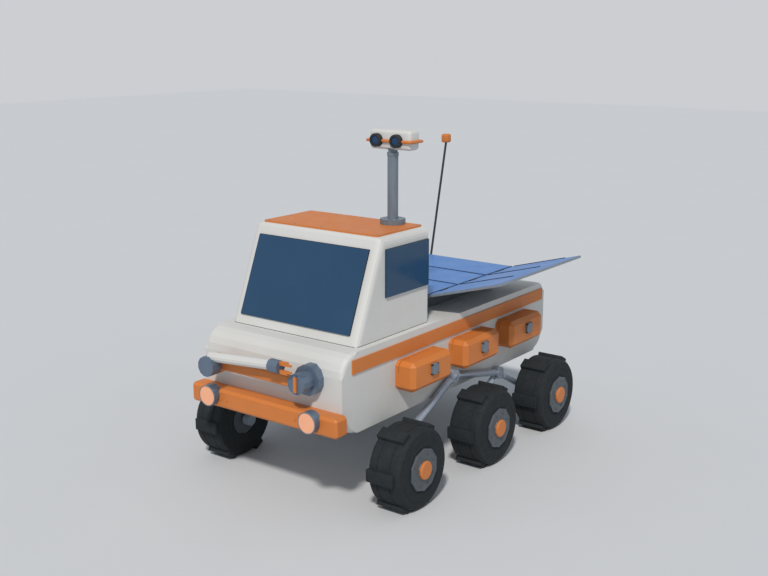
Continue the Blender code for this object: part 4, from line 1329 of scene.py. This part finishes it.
@dataclass
class Arm:
    """The folded sampling arm."""

    x: float = 0.594
    z: float = 1.51
    rib_half_width: float = 0.0178
    rib_half_height: float = 0.0858
    rib_cover: float = 0.0008
    rib_depth: float = 0.021
    rib_bevel: float = 0.002

    def build(self) -> None:
        """Dresses the arm and adds the rib on its shoulder."""
        # the drums' blue tint is a painted reflection of the sky
        coat(["arm_base", "arm_shoulder", "arm_elbow", "arm_wrist"], "arm_metal_painted_sky_reflection")
        coat(["arm_forearm"], "white_coat")
        coat(["arm_upper", "finger_upper", "finger_lower"], "orange_coat")
        low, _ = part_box("arm_shoulder")
        wide, high = self.rib_half_width, self.rib_half_height
        rib = Form().block((self.x - wide, low.y - self.rib_cover, self.z - high),
                           (self.x + wide, low.y + self.rib_depth, self.z + high), self.rib_bevel, 1)
        rib.piece("shoulder_rib", "upper_arm", "orange_coat")


@dataclass
class Studio:
    """Floor, lights and camera."""

    focal: float = 1079.1
    width: int = 768
    sensor: float = 36.0
    place: Point = (7.704, -10.3205, 5.099)
    azimuth: float = 36.7325
    pitch: float = 13.4865
    far: float = 300.0
    floor_half: float = 60.0
    floor_tones: tuple[str, str] = ("d1d3d6", "cdcfd3")
    backdrop: str = "ccced2"
    sky_colour: Colour = (0.84, 0.92, 1.0)
    sky_strength: float = 0.44
    sun_colour: Colour = (1.0, 0.955, 0.9)
    sun_energy: float = 2.3
    sun_angle: float = 5.0
    sun_place: Point = (4.5, -8.0, 10.0)

    def build(self) -> None:
        """Builds the whole studio."""
        self.build_floor()
        self.build_sky()
        self.build_sun()
        self.build_camera()
        bpy.context.scene.view_settings.view_transform = "Standard"

    def build_floor(self) -> None:
        """Lays a wide plain pale floor."""
        mesh = bpy.data.meshes.new("floor")
        size = self.floor_half
        mesh.from_pydata([(-size, -size, 0.0), (size, -size, 0.0), (size, size, 0.0), (-size, size, 0.0)], [],
                         [(0, 1, 2, 3)])
        floor = bpy.data.objects.new("floor", mesh)
        bpy.context.scene.collection.objects.link(floor)
        board = Board("floor_paint")
        first, second = (linear(tone) for tone in self.floor_tones)
        board.colour(board.mixed(board.spread(board.noise(0.6, 2.0), 0.3, 0.7, 0.0, 0.4), first, second))
        board.constant(Roughness=0.9, Specular_IOR_Level=0.1)
        mesh.materials.append(board.material)

    def build_sky(self) -> None:
        """Sets an even sky, which the camera, gloss and glass see as a pale backdrop."""
        world = bpy.data.worlds.new("sky")
        world.use_nodes = True
        tree = world.node_tree
        sky = tree.nodes["Background"]
        sky.inputs["Color"].default_value = (*self.sky_colour, 1.0)
        sky.inputs["Strength"].default_value = self.sky_strength
        seen = tree.nodes.new("ShaderNodeBackground")
        seen.inputs["Color"].default_value = (*linear(self.backdrop), 1.0)
        rays = tree.nodes.new("ShaderNodeLightPath")
        most = rays.outputs["Is Camera Ray"]
        for name in ("Is Glossy Ray", "Is Transmission Ray"):
            pick = tree.nodes.new("ShaderNodeMath")
            pick.operation = "MAXIMUM"
            tree.links.new(most, pick.inputs[0])
            tree.links.new(rays.outputs[name], pick.inputs[1])
            most = pick.outputs["Value"]
        blend = tree.nodes.new("ShaderNodeMixShader")
        tree.links.new(most, blend.inputs["Fac"])
        tree.links.new(sky.outputs["Background"], blend.inputs[1])
        tree.links.new(seen.outputs["Background"], blend.inputs[2])
        tree.links.new(blend.outputs["Shader"], tree.nodes["World Output"].inputs["Surface"])
        bpy.context.scene.world = world

    def build_sun(self) -> None:
        """Sets a soft sun that shines at the rover."""
        sun = bpy.data.lights.new("sun", "SUN")
        sun.energy = self.sun_energy
        sun.color = self.sun_colour
        sun.angle = math.radians(self.sun_angle)
        self.place_object("sun", sun, self.sun_place, -Vector(self.sun_place))

    def build_camera(self) -> None:
        """Sets the camera at the photograph's place and angle."""
        data = bpy.data.cameras.new("camera")
        data.sensor_width = self.sensor
        data.lens = self.focal * self.sensor / self.width
        data.clip_end = self.far
        a, e = math.radians(self.azimuth), math.radians(self.pitch)
        forward = Vector((-math.sin(a) * math.cos(e), math.cos(a) * math.cos(e), -math.sin(e)))
        bpy.context.scene.camera = self.place_object("camera", data, self.place, forward)

    def place_object(self, name: str, data: bpy.types.ID, place: Point, forward: Vector) -> bpy.types.Object:
        """Puts a lamp or a camera at a place and turns it.

        Args:
            name: its name.
            data: its data.
            place: where it stands.
            forward: the direction that it looks or shines in.

        Returns:
            The new object.
        """
        thing = bpy.data.objects.new(name, data)
        thing.location = place
        thing.rotation_mode = "QUATERNION"
        thing.rotation_quaternion = forward.to_track_quat("-Z", "Y")
        bpy.context.scene.collection.objects.link(thing)
        return thing


def main() -> None:
    """Builds every sub-assembly in order."""
    logging.basicConfig(level=logging.INFO, format="%(message)s")
    assemblies: list = [Studio(), Chassis(), Lamps(), Cab()]
    for side in OUTWARD:
        assemblies += [Wheel(axle, side) for axle in ("front", "middle", "rear")]
        assemblies += [Locker(side, number) for number in (1, 2, 3)]
    assemblies += [SolarArray(), CameraMast(), Aerial(), Arm()]
    for assembly in assemblies:
        assembly.build()


if __name__ == "__main__":
    main()
